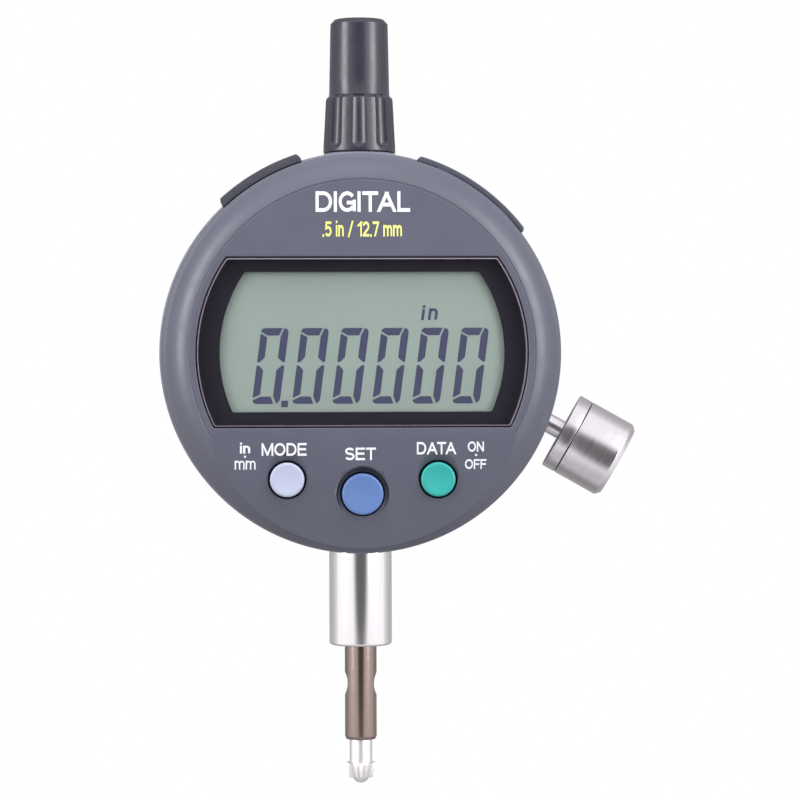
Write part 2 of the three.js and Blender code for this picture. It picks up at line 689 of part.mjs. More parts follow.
function spindleGroup() {
  const group = new THREE.Group();
  group.add(
    piece("spindle", materials.spindle, spindle()),
    piece("contact_point", materials.bright, contactPoint()),
    piece("contact_ball", materials.bright, contactBall()),
    piece("scale_holder", materials.steel, scaleHolder()),
    piece("linear_scale", materials.board, solid(block(-3, 3, -3.45, -2.95, -10, 10.5))),
    piece("lift_pin", materials.steel, solid(rodAt(0, LIFT_PIN_Z, 1, 2.5, 5.3))),
    piece("stop_collar", materials.steel, solid(tube(SPINDLE_R + SLIP, 3.6, -20.25, -17.2))),
    piece("return_spring", materials.steel, returnSpring()),
  );
  return group;
}

// ---------------------------------------------------------------- lifting lever
const leaned = (made) => made.rotate([0, 0, -LEVER_LEAN]);

// A round shaft outside and a flat blade inside, in one piece. The blade's fork holds the lift pin.
function leverArm() {
  const hub = solid(rod(LEVER_HUB_R, -2, BLADE.y1, MEDIUM, "y"));
  const shaft = leaned(solid(rod(LEVER_SHAFT_R, 0, KNOB.outer - 2, MEDIUM, "x")));
  const { tip, wide } = BLADE;
  const outline = [[0, -2.2], [wide, -3.1], [tip, -3.1], [tip, 3.7], [wide, 3.7], [0, 2.2]];
  const blade = solid(plate(polygon(outline), BLADE.y0, BLADE.y1));
  const slot = solid(block(tip - PAST, BLADE.slotStart, 3, 5, -1.3, 1.9));
  const bore = solid(rod(LEVER_PIN_R + 0.1, -3, 5, MEDIUM, "y"));
  return cut(join(hub, shaft, blade), slot, bore);
}

function leverKnob() {
  const chamfer = 0.7;
  const start = KNOB.inner + KNOB.ring + KNOB.gap;
  return leaned(solid(
    turned(
      [
        [LEVER_SHAFT_R + SLIP, start],
        [KNOB.radius, start],
        [KNOB.radius, KNOB.outer - chamfer],
        [KNOB.radius - chamfer, KNOB.outer],
        [0, KNOB.outer],
        [0, KNOB.outer - 1.9],
        [LEVER_SHAFT_R + SLIP, KNOB.outer - 1.9],
        [LEVER_SHAFT_R + SLIP, start],
      ],
      32,
      "x",
    ),
  ));
}

function leverGroup() {
  const group = new THREE.Group();
  group.position.set(LEVER_PIVOT.x, 0, LEVER_PIVOT.z);
  group.rotation.y = rad(LEVER_ANGLE);
  const ringEnd = KNOB.inner + KNOB.ring;
  const ring = leaned(solid(tube(LEVER_SHAFT_R + SLIP, KNOB.radius, KNOB.inner, ringEnd, 32, "x")));
  group.add(
    piece("lever_arm", materials.steel, leverArm()),
    piece("lever_knob", materials.steel, leverKnob()),
    piece("lever_knob_ring", materials.steel, ring),
  );
  return group;
}

// ---------------------------------------------------------------- spindle cap
function spindleCap() {
  const body = solid(
    turned(
      [
        [3.75, CAP.bottom],
        [CAP.bottomR, CAP.bottom],
        [CAP.shoulderR, CAP.shoulder - 0.5],
        [CAP.shoulderR - 0.3, CAP.shoulder],
        [CAP.neckR, CAP.shoulder + 0.2],
        [CAP.topR, CAP.top - 0.7],
        [CAP.topR - 0.6, CAP.top],
        [0, CAP.top],
        [0, 49.2],
        [3.1, 49.2],
        [3.1, 37],
        [3.75, 36.5],
        [3.75, CAP.bottom],
      ],
      36,
    ),
  );
  const flute = { radius: 0.78, centreR: 5.6, lean: 0.045 };
  const flutes = Array.from({ length: CAP_FLUTES }, (_, i) => {
    const cutter = rod(flute.radius, 0, 9, 10).rotateY(-flute.lean).translate(flute.centreR, 0, 31.9);
    return solid(cutter.rotateZ(-Math.PI / 2 + (i * 2 * Math.PI) / CAP_FLUTES));
  });
  return cut(body, ...flutes);
}

// ---------------------------------------------------------------- battery tray and data socket
// The tray slides out with its cell, and its cover follows the body's side.
function batteryTray() {
  const sector = ringSector(DISPLAY_R + 0.15, TRAY.outerR, TRAY.halfSpan);
  const cover = solid(towards(plate(sector, COVER_Y0, COVER_Y1), TRAY.angle));
  const link = solid(towards(block(28, DISPLAY_R + 0.4, -13.3, TRAY.y1, -5.6, 5.6), TRAY.angle));
  const cellRoom = solid(rodAt(...TRAY_CENTRE, CELL.radius + 0.1, -15, -8.3, MEDIUM));
  return cut(join(trayOutline(0, TRAY.y0, TRAY.y1, 29.2), link, cover), cellRoom);
}

function batteryCell() {
  const [front, back] = [CELL.y0, CELL.y0 + CELL.height];
  const step = front + 0.4;
  const { radius } = CELL;
  const profile = [[0, front], [4.6, front], [4.8, step], [radius, step], [radius, back], [0, back]];
  return solid(turned(profile, MEDIUM, "y").translate(TRAY_CENTRE[0], 0, TRAY_CENTRE[1]));
}

// A spring strip over the cell's front, with a leg that stands on the board beside the tray.
function cellContactFront() {
  const strip = solid(towards(block(22, 24, -14.3, -14.05, -1.5, 7.4), TRAY.angle));
  return join(strip, solid(towards(block(22, 24, -14.3, -11.45, 7.1, 7.4), TRAY.angle)));
}

const cellContactSide = () => solid(towards(block(21, 25, -10.35, -8.4, -7.1, -6.8), TRAY.angle));

function batteryGroup() {
  const group = new THREE.Group();
  group.add(
    piece("battery_tray", materials.body, batteryTray()),
    piece("battery_cell", materials.bright, batteryCell()),
    piece("cell_contact_front", materials.brass, cellContactFront()),
    piece("cell_contact_side", materials.brass, cellContactSide()),
  );
  return group;
}

// The rubber cap closes the data socket.
function portCap() {
  const cover = solid(plate(ringSector(DISPLAY_R + 0.15, PORT.outerR, PORT.halfSpan), COVER_Y0, COVER_Y1));
  const plug = block(26.9, DISPLAY_R + 0.5, PORT.slotY0, PORT.slotY1, -PORT.halfWidth, PORT.halfWidth);
  return solidTowards(join(cover, solid(plug)), PORT.angle);
}

const PIN_PLACES = [-3.6, -1.8, 0, 1.8, 3.6];

function dataSocket() {
  const body = solid(block(20.8, 26.7, -10.35, -8.05, -6.2, 6.2));
  const mouth = solid(block(22.6, 28, -9.75, -8.55, -PORT.halfWidth, PORT.halfWidth));
  const pinHoles = PIN_PLACES.map((z) => solid(block(20, 23, -9.5, -8.8, z - 0.35, z + 0.35)));
  return solidTowards(cut(body, mouth, ...pinHoles), PORT.angle);
}

// Five contact pins on their lead frame.
function socketPins() {
  const pins = PIN_PLACES.map((z) => solid(block(20, 26, -9.4, -8.9, z - 0.25, z + 0.25)));
  return solidTowards(join(solid(block(20, 20.4, -9.9, -8.4, -4.2, 4.2)), ...pins), PORT.angle);
}

function portGroup() {
  const group = new THREE.Group();
  group.add(
    piece("port_cap", materials.rubber, portCap()),
    piece("data_socket", materials.black, dataSocket()),
    piece("socket_pins", materials.brass, socketPins()),
  );
  return group;
}

// ---------------------------------------------------------------- assembly
const indicator = new THREE.Group();
const body = new THREE.Group();
body.position.z = BODY_CENTRE_Z;
body.add(displayUnit(), batteryGroup(), portGroup(), caseGroup(), spindleGroup(), leverGroup());
body.add(piece("spindle_cap", materials.cap, spindleCap()));
indicator.add(body);

export default indicator;
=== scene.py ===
"""Looks of a digital dial indicator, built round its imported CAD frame.

The builders below work in millimetres from the centre of the round body, with x to the lever's side,
y to the back and z up the spindle. install() takes each finished piece to metres in the row's frame.
"""
from math import asin, atan2, copysign, cos, dist, hypot, pi, radians, sin, tan

import bmesh
import bpy
from mathutils import Matrix, Quaternion, Vector


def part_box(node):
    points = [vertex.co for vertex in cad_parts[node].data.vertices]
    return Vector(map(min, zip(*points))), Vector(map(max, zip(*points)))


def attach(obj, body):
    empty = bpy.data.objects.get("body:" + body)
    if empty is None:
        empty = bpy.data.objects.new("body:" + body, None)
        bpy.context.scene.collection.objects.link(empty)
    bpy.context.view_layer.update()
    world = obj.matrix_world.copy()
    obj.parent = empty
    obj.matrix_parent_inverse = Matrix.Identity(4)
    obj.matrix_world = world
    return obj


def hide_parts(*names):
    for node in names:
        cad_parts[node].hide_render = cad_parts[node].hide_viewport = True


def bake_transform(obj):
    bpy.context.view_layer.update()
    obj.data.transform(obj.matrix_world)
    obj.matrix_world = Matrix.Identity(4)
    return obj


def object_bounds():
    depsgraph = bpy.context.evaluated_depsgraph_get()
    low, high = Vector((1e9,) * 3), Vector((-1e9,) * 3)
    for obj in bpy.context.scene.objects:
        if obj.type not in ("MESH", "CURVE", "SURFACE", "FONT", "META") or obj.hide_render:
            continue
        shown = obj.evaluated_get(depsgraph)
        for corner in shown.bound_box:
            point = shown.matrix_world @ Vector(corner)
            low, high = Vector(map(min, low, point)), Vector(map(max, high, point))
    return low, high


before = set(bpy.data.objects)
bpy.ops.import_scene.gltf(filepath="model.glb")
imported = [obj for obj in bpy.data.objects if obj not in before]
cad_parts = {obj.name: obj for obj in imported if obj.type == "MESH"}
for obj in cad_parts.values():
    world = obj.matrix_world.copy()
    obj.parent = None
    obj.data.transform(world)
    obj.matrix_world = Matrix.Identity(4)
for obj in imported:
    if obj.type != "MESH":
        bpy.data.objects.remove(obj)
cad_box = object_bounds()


# ---- driving dimensions, in millimetres
def box_of(node):
    """The low and high corners of a frame node's box."""
    return [Vector(corner) * 1000 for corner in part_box(node)]


cover_low, cover_high = box_of("front_cover")
CENTRE_Z = (cover_low.z + cover_high.z) / 2  # of the round body, above the row's origin
TO_ROW = Matrix.Scale(0.001, 4) @ Matrix.Translation((0, 0, CENTRE_Z))

FRONT_Y = cover_low.y
REAR_Y = cover_high.y
DISPLAY_R = (cover_high.x - cover_low.x) / 2
DISPLAY_WALL_R = 27.7
WALL_Y = -13.3  # the back of the cover's front wall
POCKET_Y = -15.6  # the front of the pocket in that wall, where the window's pane ends
HOLDER_Y = -13.05  # the back of the display's glass, and the front of the buttons' flanges
FACE_R = 25.25
GROOVE_WIDTH = 0.32
RIM_MIDDLE = Vector((27.35, -16.7))  # the radii and depths that shape the rim
RIM_SHOULDER = Vector((28.75, -14.6))
RIM_EDGE_Y = -14.05
ROLL_RADIUS = 198.0  # of the shallow arc where the face starts to roll back below the window
ROLL_CENTRE_Z = 185.6
ROLL_SLOPE = 0.05
ROLL_CURVE = 150.0
WINDOW = {"radius": 24.4, "top": 14.1, "bottom": -10.95}  # these are discs cut off above and below
VIEW = {"radius": 20.9, "top": 11.9, "bottom": -8.65}
POCKET = {"radius": 25.8, "top": 25.7, "bottom": -12.8}

CASE_R = 30.2
CASE_FRONT_Y = -6.2
CASE_BACK_Y = 8.2
BACK_PLATE_Y = 6.5
SCREW_CIRCLE_R = 24.6
SCREW_ANGLES = (15, 165, 225, 315)
LUG = {"half_thickness": 3.175, "half_height": 6.35, "hole_radius": 3.175, "hole_y": 15.5}

TRAY_ANGLE = 55.3
TRAY_HALF_SPAN = 18.5
TRAY_CELL_AT = 23.2
TRAY_HALF_WIDTH = 6.4
PORT_ANGLE = 120.3
PORT_HALF_SPAN = 13.0

LEVER_ANGLE = 29.5
LEVER_LEAN = 5.0  # towards the front, outside the case
pin_low, pin_high = box_of("lever_pivot_pin")
LEVER_PIVOT = Vector(((pin_low.x + pin_high.x) / 2, 0, (pin_low.z + pin_high.z) / 2 - CENTRE_Z))
TO_LEVER = Matrix.Translation(LEVER_PIVOT) @ Matrix.Rotation(radians(LEVER_ANGLE), 4, "Y")
LEAN = Matrix.Rotation(-radians(LEVER_LEAN), 4, "Z")

BUTTONS = {
    "mode": {"x": -11.07, "z": -18.55, "radius": 2.52, "hole": 2.85, "proud": 0.5},
    "set": {"x": 0.0, "z": -20.7, "radius": 3.04, "hole": 3.3, "proud": 0.35},
    "data": {"x": 11.07, "z": -18.55, "radius": 2.52, "hole": 2.85, "proud": 0.5},
}
SET_DISH = {"radius": 3.9, "wall": 0.35, "depth": 0.85}

ROUND = 192  # steps round a large circle
FINE = 96  # steps round a small one
ARC = 5  # steps round a filleted corner
TINY = 1e-6
SHARP = radians(32)


# ---- mesh building
def rounded(corners, closed=False):
    """An outline's points, with each corner (a, b, radius) turned into an arc."""
    points = []
    last = len(corners) - 1
    for i, corner in enumerate(corners):
        here = Vector(corner[:2])
        radius = corner[2] if len(corner) > 2 else 0
        if not radius or (not closed and i in (0, last)):
            points.append(tuple(here))
            continue
        back = (Vector(corners[i - 1][:2]) - here).normalized()
        ahead = (Vector(corners[(i + 1) % len(corners)][:2]) - here).normalized()
        half = back.angle(ahead) / 2
        centre = here + (back + ahead).normalized() * radius / sin(half)
        start = here + back * radius / tan(half) - centre
        end = here + ahead * radius / tan(half) - centre
        sweep = atan2(start.cross(end), start.dot(end))
        for k in range(ARC + 1):
            turned = start.copy()
            turned.rotate(Matrix.Rotation(sweep * k / ARC, 2))
            points.append(tuple(centre + turned))
    return points


def arc(x, z, half_width, half_height, start, end, steps=14):
    turns = [radians(start + (end - start) * k / steps) for k in range(steps + 1)]
    return [(x + half_width * cos(a), z + half_height * sin(a)) for a in turns]


def bend(start, middle, end, steps):
    """A quadratic curve's points."""
    shares = [k / steps for k in range(steps + 1)]
    return [tuple(start * (1 - t) ** 2 + middle * 2 * t * (1 - t) + end * t**2) for t in shares]


def polar(radius, degrees):
    return radius * cos(radians(degrees)), radius * sin(radians(degrees))


def scene_object(name, data):
    obj = bpy.data.objects.new(name, data)
    bpy.context.scene.collection.objects.link(obj)
    return obj


def mesh_object(name, vertices, faces):
    mesh = bpy.data.meshes.new(name)
    mesh.from_pydata([tuple(v) for v in vertices], [], faces)
    shape = bmesh.new()
    shape.from_mesh(mesh)
    bmesh.ops.remove_doubles(shape, verts=shape.verts, dist=1e-5)
    bmesh.ops.recalc_face_normals(shape, faces=shape.faces)
    shape.to_mesh(mesh)
    shape.free()
    return scene_object(name, mesh)


def skin(rings, closed=False, first=0):
    """The faces over rings of equally many points, numbered from first. The skin closes on itself, or has a
    flat cap at each end."""
    count, last = len(rings[0]), len(rings) - 1
    faces = []
    for a in range(last + closed):
        low, high = first + a * count, first + (a + 1) % len(rings) * count
        for i in range(count):
            j = (i + 1) % count
            faces.append((low + i, low + j, high + j, high + i))
    caps = () if closed else (first, first + last * count)
    return faces + [tuple(range(start, start + count)) for start in caps]


def loft(name, rings, closed=False):
    return mesh_object(name, [point for ring in rings for point in ring], skin(rings, closed))


AXES = {
    "x": lambda r, h, c, s: (h, r * c, r * s),
    "y": lambda r, h, c, s: (r * c, h, r * s),
    "z": lambda r, h, c, s: (r * c, r * s, h),
}


def lathe(name, corners, axis="z", steps=FINE, closed=False):
    """A body of revolution from (radius, height, fillet) corners. Open outlines end on the axis."""
    turns = [(cos(2 * pi * i / steps), sin(2 * pi * i / steps)) for i in range(steps)]
    rings = [[AXES[axis](max(r, TINY), h, c, s) for c, s in turns] for r, h in rounded(corners, closed)]
    return loft(name, rings, closed)


def cylinder(name, radius, low, high, axis="z", steps=FINE):
    return lathe(name, [(0, low), (radius, low), (radius, high), (0, high)], axis, steps)


def layers(*outlines):
    """Rings from (outline, depth) pairs."""
    return [[(x, y, z) for x, z in outline] for outline, y in outlines]


def prism(name, outline, front, back):
    return loft(name, layers((outline, front), (outline, back)))


def block(name, x0, x1, y0, y1, z0, z1):
    return prism(name, [(x0, z0), (x1, z0), (x1, z1), (x0, z1)], y0, y1)


def apply_modifiers(obj):
    depsgraph = bpy.context.evaluated_depsgraph_get()
    result = bpy.data.meshes.new_from_object(obj.evaluated_get(depsgraph))
    obj.modifiers.clear()
    old, obj.data = obj.data, result
    bpy.data.meshes.remove(old)
    return obj


def combine(target, others, operation):
    """Cuts the other solids out of the target, or joins them to it, and uses them up."""
    for other in others:
        boolean = target.modifiers.new("combine", "BOOLEAN")
        boolean.operation = operation
        boolean.solver = "EXACT"
        boolean.object = other
    apply_modifiers(target)
    for other in others:
        bpy.data.objects.remove(other)
    return target


def carve(target, *cutters):
    return combine(target, cutters, "DIFFERENCE")


def fuse(target, *others):
    return combine(target, others, "UNION")


def bevel_edges(obj, width, angle):
    bevel = obj.modifiers.new("bevel", "BEVEL")
    bevel.width = width
    bevel.segments = 2
    bevel.limit_method = "ANGLE"
    bevel.angle_limit = radians(angle)
    return apply_modifiers(obj)


def moved(obj, matrix):
    obj.data.transform(matrix)
    return obj


def shifted(obj, x, y, z):
    return moved(obj, Matrix.Translation((x, y, z)))


def shade(obj):
    mesh = obj.data
    mesh.polygons.foreach_set("use_smooth", [True] * len(mesh.polygons))
    mesh.set_sharp_from_angle(angle=SHARP)


def paint(obj, finish):
    obj.data.materials.clear()
    obj.data.materials.append(finish)


def spin(point_angle):
    """Turns +X to an angle above the body's +X, in the plane of the face."""
    return Matrix.Rotation(-radians(point_angle), 4, "Y")


def install(obj, body, finish, node=None, smooth=True):
    """Takes a piece to the row's frame, gives it its finish and makes it ride on its body."""
    if smooth:
        shade(obj)
    paint(moved(obj, TO_ROW), finish)
    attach(obj, body)
    if node:
        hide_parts(node)


def install_flat(obj, finish, node=None):
    """Installs a piece of the display unit that has flat faces or is shaded already."""
    install(obj, "display_unit", finish, node, smooth=False)


# ---- materials
def srgb(red, green, blue):
    """A display colour, each part 0 to 255, as the linear colour that a shader takes."""
    parts = [c / 255 for c in (red, green, blue)]
    linear = [((c + 0.055) / 1.055) ** 2.4 if c > 0.04 else c / 12.92 for c in parts]
    return (*linear, 1.0)


def feed(node, *values, **inputs):
    """Links or sets a shader node's inputs: the first ones in order, and others by name."""
    named = [(node.inputs[name.replace("_", " ")], value) for name, value in inputs.items()]
    for socket, value in [*zip(node.inputs, values), *named]:
        if isinstance(value, bpy.types.NodeSocket):
            node.id_data.links.new(value, socket)
        else:
            socket.default_value = value
    return node


def wired(tree, kind, *values, operation=None, **inputs):
    """A new shader node with its inputs fed."""
    made = tree.nodes.new("ShaderNode" + kind)
    if operation:
        made.operation = operation
    return feed(made, *values, **inputs)


def scaled(tree, value, old_low, old_high, low, high):
    """A value carried from one range to another, and held to it."""
    return wired(tree, "MapRange", value, old_low, old_high, low, high).outputs[0]


MIX_COLOURS = (6, 7)  # the inputs for colours of a Mix node, which has some for each type of value
MIX_COLOUR_OUTPUT = 2
NOISE_RANGE = (0.3, 0.7)  # where most values of a noise lie


class Finish:
    """A procedural material: a Principled shader, with nodes that vary its colour, roughness and relief."""

    def __init__(self, name, rgb, roughness, metallic=0.0, specular=0.5):
        self.material = bpy.data.materials.new(name)
        self.material.use_nodes = True
        self.tree = self.material.node_tree
        self.shader = self.tree.nodes["Principled BSDF"]
        self.colour = srgb(*rgb)
        self.roughness = roughness
        feed(self.shader, Base_Color=self.colour, Roughness=roughness, Metallic=metallic)
        feed(self.shader, Specular_IOR_Level=specular)
        self.where = self.node("TexCoord").outputs["Object"]
        self.normal = None

    def node(self, kind, *values, **inputs):
        return wired(self.tree, kind, *values, **inputs)

    def noise(self, size, detail=2.0, stretch=(1, 1, 1), turn=(0, 0, 0)):
        """Noise with features of a size in millimetres, drawn out by stretch along each turned axis."""
        mapping = self.node("Mapping", Vector=self.where, Rotation=turn, Scale=stretch)
        mapping.vector_type = "TEXTURE"
        texture = self.node("TexNoise", Vector=mapping.outputs[0], Scale=1000 / size, Detail=detail)
        return texture.outputs["Fac"]

    def ranged(self, value, low, high):
        return scaled(self.tree, value, *NOISE_RANGE, low, high)

    def mottle(self, size, amount, **shape):
        """Lighter and darker patches of the base colour."""
        mix = self.node("Mix", self.ranged(self.noise(size, **shape), 0.0, 1.0))
        mix.data_type = "RGBA"
        for index, share in zip(MIX_COLOURS, (1 - amount, 1 + amount)):
            mix.inputs[index].default_value = (*[min(1, c * share) for c in self.colour[:3]], 1)
        feed(self.shader, Base_Color=mix.outputs[MIX_COLOUR_OUTPUT])
        return self

    def smudge(self, size, amount, **shape):
        """Rougher and smoother patches."""
        value = self.ranged(self.noise(size, **shape), self.roughness - amount, self.roughness + amount)
        feed(self.shader, Roughness=value)
        return self

    def grain(self, size, depth, **shape):
        """A relief of a depth in millimetres. Grains added later lie over the earlier ones."""
        bump = self.node("Bump", Height=self.noise(size, **shape), Strength=1.0, Distance=depth / 1000)
        if self.normal:
            feed(bump, Normal=self.normal)
        self.normal = bump.outputs[0]
        feed(self.shader, Normal=self.normal)
        return self


def moulded(name, rgb, roughness=0.5, depth=0.004, specular=0.5):
    """Moulded plastic with the fine even texture of its mould."""
    finish = Finish(name, rgb, roughness, specular=specular).mottle(6.0, 0.03).smudge(2.5, 0.05)
    return finish.grain(0.22, depth, detail=3.0).material


def turned_metal(
    name, rgb, roughness, line=0.08, depth=0.0008, streak=0.05, stretch=(40, 40, 1), turn=(0, 0, 0)
):
    """Metal with the fine lines that turning or grinding leaves round its axis."""
    shape = {"stretch": stretch, "turn": turn}
    finish = Finish(name, rgb, roughness, metallic=1.0).mottle(line * 3, streak, **shape)
    return finish.smudge(line * 4, streak, **shape).grain(line, depth, **shape).material


def rubber(name, rgb):
    finish = Finish(name, rgb, 0.75).mottle(1.2, 0.12).smudge(1.0, 0.08)
    return finish.grain(0.12, 0.012, detail=4.0).material


def painted(name, rgb):
    """Matt powder paint over a casting."""
    finish = Finish(name, rgb, 0.55).mottle(5.0, 0.04).smudge(3.0, 0.06)
    return finish.grain(0.35, 0.006, detail=3.0).grain(2.5, 0.01).material


def clear_pane(name):
    """Clear plastic. It mirrors a little, more at a glancing angle, and lets the rest through unbent."""
    finish = Finish(name, (255, 255, 255), 0.03)
    ripple = finish.node("Bump", Height=finish.noise(4.0), Strength=1.0, Distance=0.000001).outputs[0]
    facing = finish.node("LayerWeight", Blend=0.5).outputs["Facing"]
    steep = finish.node("Math", facing, 5.0, operation="POWER").outputs[0]
    share = scaled(finish.tree, steep, 0, 1, 0.025, 0.7)
    clear = finish.node("BsdfTransparent").outputs[0]
    glossy = finish.node("BsdfGlossy", Roughness=0.03, Normal=ripple).outputs[0]
    mix = finish.node("MixShader", share, clear, glossy).outputs[0]
    feed(finish.tree.nodes["Material Output"], Surface=mix)
    finish.tree.nodes.remove(finish.shader)
    return finish.material


lever_turn = (0, radians(LEVER_ANGLE), 0)
body_plastic = moulded("body_plastic", (74, 75, 88), 0.4, 0.003)
# the body's plastic made darker: painted shade for the thin, rounded battery drawer cover
shaded_body_plastic = moulded("shaded_body_plastic", (62, 63, 75), 0.4, 0.003)
cap_plastic = moulded("cap_plastic", (39, 37, 48), 0.28, 0.0008)
black_plastic = moulded("black_plastic", (36, 34, 42), 0.4, 0.002)
border_ink = moulded("border_ink", (26, 23, 33), 0.5, 0.0003, specular=0.12)
case_paint = painted("case_paint", (98, 99, 113))
dark_rubber = rubber("dark_rubber", (46, 47, 57))
button_pale = moulded("button_pale", (152, 156, 177), 0.4, 0.004)
button_blue = moulded("button_blue", (77, 102, 150), 0.4, 0.004)
button_green = moulded("button_green", (35, 138, 133), 0.4, 0.004)
white_ink = moulded("white_ink", (198, 198, 204), 0.5, 0.001)
yellow_ink = moulded("yellow_ink", (196, 196, 112), 0.5, 0.001)
bright_steel = turned_metal("bright_steel", (240, 236, 240), 0.13, 0.04, 0.00001, 0.01)
point_steel = turned_metal("point_steel", (248, 244, 246), 0.36, 0.03, 0.00002, 0.02)
turned_steel = turned_metal("turned_steel", (206, 202, 204), 0.26)
knob_steel = turned_metal(
    "knob_steel", (228, 222, 229), 0.21, line=0.03, depth=0.00008, stretch=(1, 40, 40), turn=lever_turn
)
spindle_steel = turned_metal("spindle_steel", (157, 139, 133), 0.16, 0.02, 0.00002, 0.03)
brass = turned_metal("brass", (206, 176, 112), 0.3)
lens_pane = clear_pane("lens_pane")
# an opaque pale grey for the clear pane's bevelled edge: a painted highlight where the edge catches the
# light
lens_edge_highlight = moulded("lens_edge_highlight", (120, 112, 126), 0.3, 0.001)
lcd_film = Finish("lcd_film", (122, 134, 129), 0.45).mottle(12.0, 0.03).smudge(4.0, 0.04)
lcd_film = lcd_film.grain(0.08, 0.001, detail=1.0).material
segment_dark = Finish("segment_dark", (50, 53, 78), 0.45).mottle(1.5, 0.04).grain(0.2, 0.0005).material
board_green = Finish("board_green", (34, 104, 68), 0.35).mottle(1.0, 0.15).grain(0.5, 0.01).material


# ---- the face
def roll_profile(below):
    return ROLL_SLOPE * below + below**2 / ROLL_CURVE


def below_roll_line(x, z):
    """How far a place on the face is beyond the shallow arc where it starts to roll back."""
    return max(0.0, hypot(x, z - ROLL_CENTRE_Z) - ROLL_RADIUS)


def face_y(x, z):
    return FRONT_Y + roll_profile(below_roll_line(x, z))


def banded_disc(size, corner=0.3, steps=40):
    """The outline of a disc cut off straight above and below, as a function of how much it grows."""
    def outline(grow):
        radius = size["radius"] + grow
        low = asin((size["bottom"] - grow) / radius)
        high = asin((size["top"] + grow) / radius)
        turns = [low + (high - low) * k / steps for k in range(steps + 1)]
        points = []
        for side in (1, -1):
            edge = [(side * radius * cos(a), radius * sin(a)) for a in turns]
            lower = blunt(edge[0], edge[3], (0, edge[0][1]), corner)
            upper = blunt(edge[-1], edge[-4], (0, edge[-1][1]), corner)
            run = lower[::-1] + edge[2:-2] + upper
            points += run if side == 1 else run[::-1]
        return points
    return outline


def blunt(tip, along, across, size):
    """Points that round a corner at tip, from its side towards along to its side towards across."""
    tip = Vector(tip)
    start = tip + (Vector(along) - tip).normalized() * size
    end = tip + (Vector(across) - tip).normalized() * size
    return bend(start, tip, end, ARC)


def roll_cutter(steps=90):
    """Everything in front of the rolled-back lower part of the face."""
    reach, half_sweep, clear_y = 20, 9.5, FRONT_Y - 2
    profile = [(ROLL_RADIUS - 3, FRONT_Y - ROLL_SLOPE * 3)]
    profile += [(ROLL_RADIUS + below, FRONT_Y + roll_profile(below)) for below in range(reach + 1)]
    profile += [(ROLL_RADIUS + reach, clear_y), (ROLL_RADIUS - 3, clear_y)]
    rings = []
    for k in range(steps + 1):
        a = radians(-half_sweep + 2 * half_sweep * k / steps)
        rings.append([(radius * sin(a), y, ROLL_CENTRE_Z - radius * cos(a)) for radius, y in profile])
    return loft("roll_cutter", rings)


def square_to_face(button):
    """Takes a shape to where a button's axis meets the face, with y straight into the surface there."""
    x, z = button["x"], button["z"]
    tilt = ROLL_SLOPE + 2 * below_roll_line(x, z) / ROLL_CURVE
    return Matrix.Translation((x, face_y(x, z), z)) @ Matrix.Rotation(-tilt, 4, "X")


def hole_cutter(button):
    """A button's hole through the face, with a slight chamfer that lies square to the surface."""
    radius, x, z = button["hole"], button["x"], button["z"]
    hole = shifted(cylinder("hole", radius, -3, 6, "y"), x, face_y(x, z), z)
    chamfer = lathe("chamfer", [(0, -1), (radius + 1.12, -1), (radius, 0.12), (0, 0.12)], "y")
    return [hole, moved(chamfer, square_to_face(button))]


def dish_cutter(steps=10):
    """The dished seat round the middle button: a steep curved wall and a flat bottom."""
    radius, wall, depth = SET_DISH["radius"], SET_DISH["wall"], SET_DISH["depth"]
    profile = [(0, -2), (radius + 0.12, -2), (radius + 0.12, -0.05)]
    for k in range(steps + 1):
        turn = k / steps * pi / 2
        profile.append((radius - wall * (1 - cos(turn)), depth * sin(turn)))
    profile.append((0, depth))
    return moved(lathe("dish", profile, "y", ROUND), square_to_face(BUTTONS["set"]))


def rim_curve(steps=16):
    """The convex rim, from the groove round the face over its shoulder to the body's side."""
    curve = bend(Vector((FACE_R + GROOVE_WIDTH, FRONT_Y + 0.03)), RIM_MIDDLE, RIM_SHOULDER, steps)
    curve[0] += (0.1,)
    return curve[:-1] + [(*curve[-1], 0.12)]


def tray_shape(name, grow, front, back, end):
    """The battery tray's outline as a solid: round inside and straight outwards."""
    half = TRAY_HALF_WIDTH + grow
    outline = arc(TRAY_CELL_AT, 0, half, half, 90, 270, 48) + [(end, -half), (end, half)]
    return moved(prism(name, outline, front, back), spin(TRAY_ANGLE))


def front_cover():
    groove = 0.1
    pocket_back = -13.0
    corners = [(0, FRONT_Y), (8, FRONT_Y), (16, FRONT_Y), (FACE_R, FRONT_Y, 0.06)]
    corners += [(FACE_R + 0.1, FRONT_Y + groove), (FACE_R + GROOVE_WIDTH - 0.12, FRONT_Y + groove)]
    corners += rim_curve()
    corners += [(DISPLAY_R, RIM_EDGE_Y, 0.12), (DISPLAY_R, REAR_Y, 0.25), (DISPLAY_WALL_R, REAR_Y)]
    corners += [(DISPLAY_WALL_R, WALL_Y), (0, WALL_Y)]
    shell = lathe("display_cover", corners, "y", ROUND)
    edge = banded_disc(WINDOW)
    pocket = prism("pocket", banded_disc(POCKET)(0), POCKET_Y, pocket_back)
    opening = prism("opening", edge(0), FRONT_Y - 1, pocket_back)
    chamfer = loft("chamfer", layers((edge(1.12), FRONT_Y - 1), (edge(0), FRONT_Y + 0.12)))
    port = moved(block("port", 27, 32, -9.85, -8.45, -5.3, 5.3), spin(PORT_ANGLE))
    tray = tray_shape("tray_room", 0.3, -14.0, -7.2, 33)
    cutters = [roll_cutter(), pocket, opening, chamfer, dish_cutter(), port, tray]
    for button in BUTTONS.values():
        cutters += hole_cutter(button)
    carve(shell, *cutters)
    shade(shell)
    mark_face_creases(shell.data)
    return shell


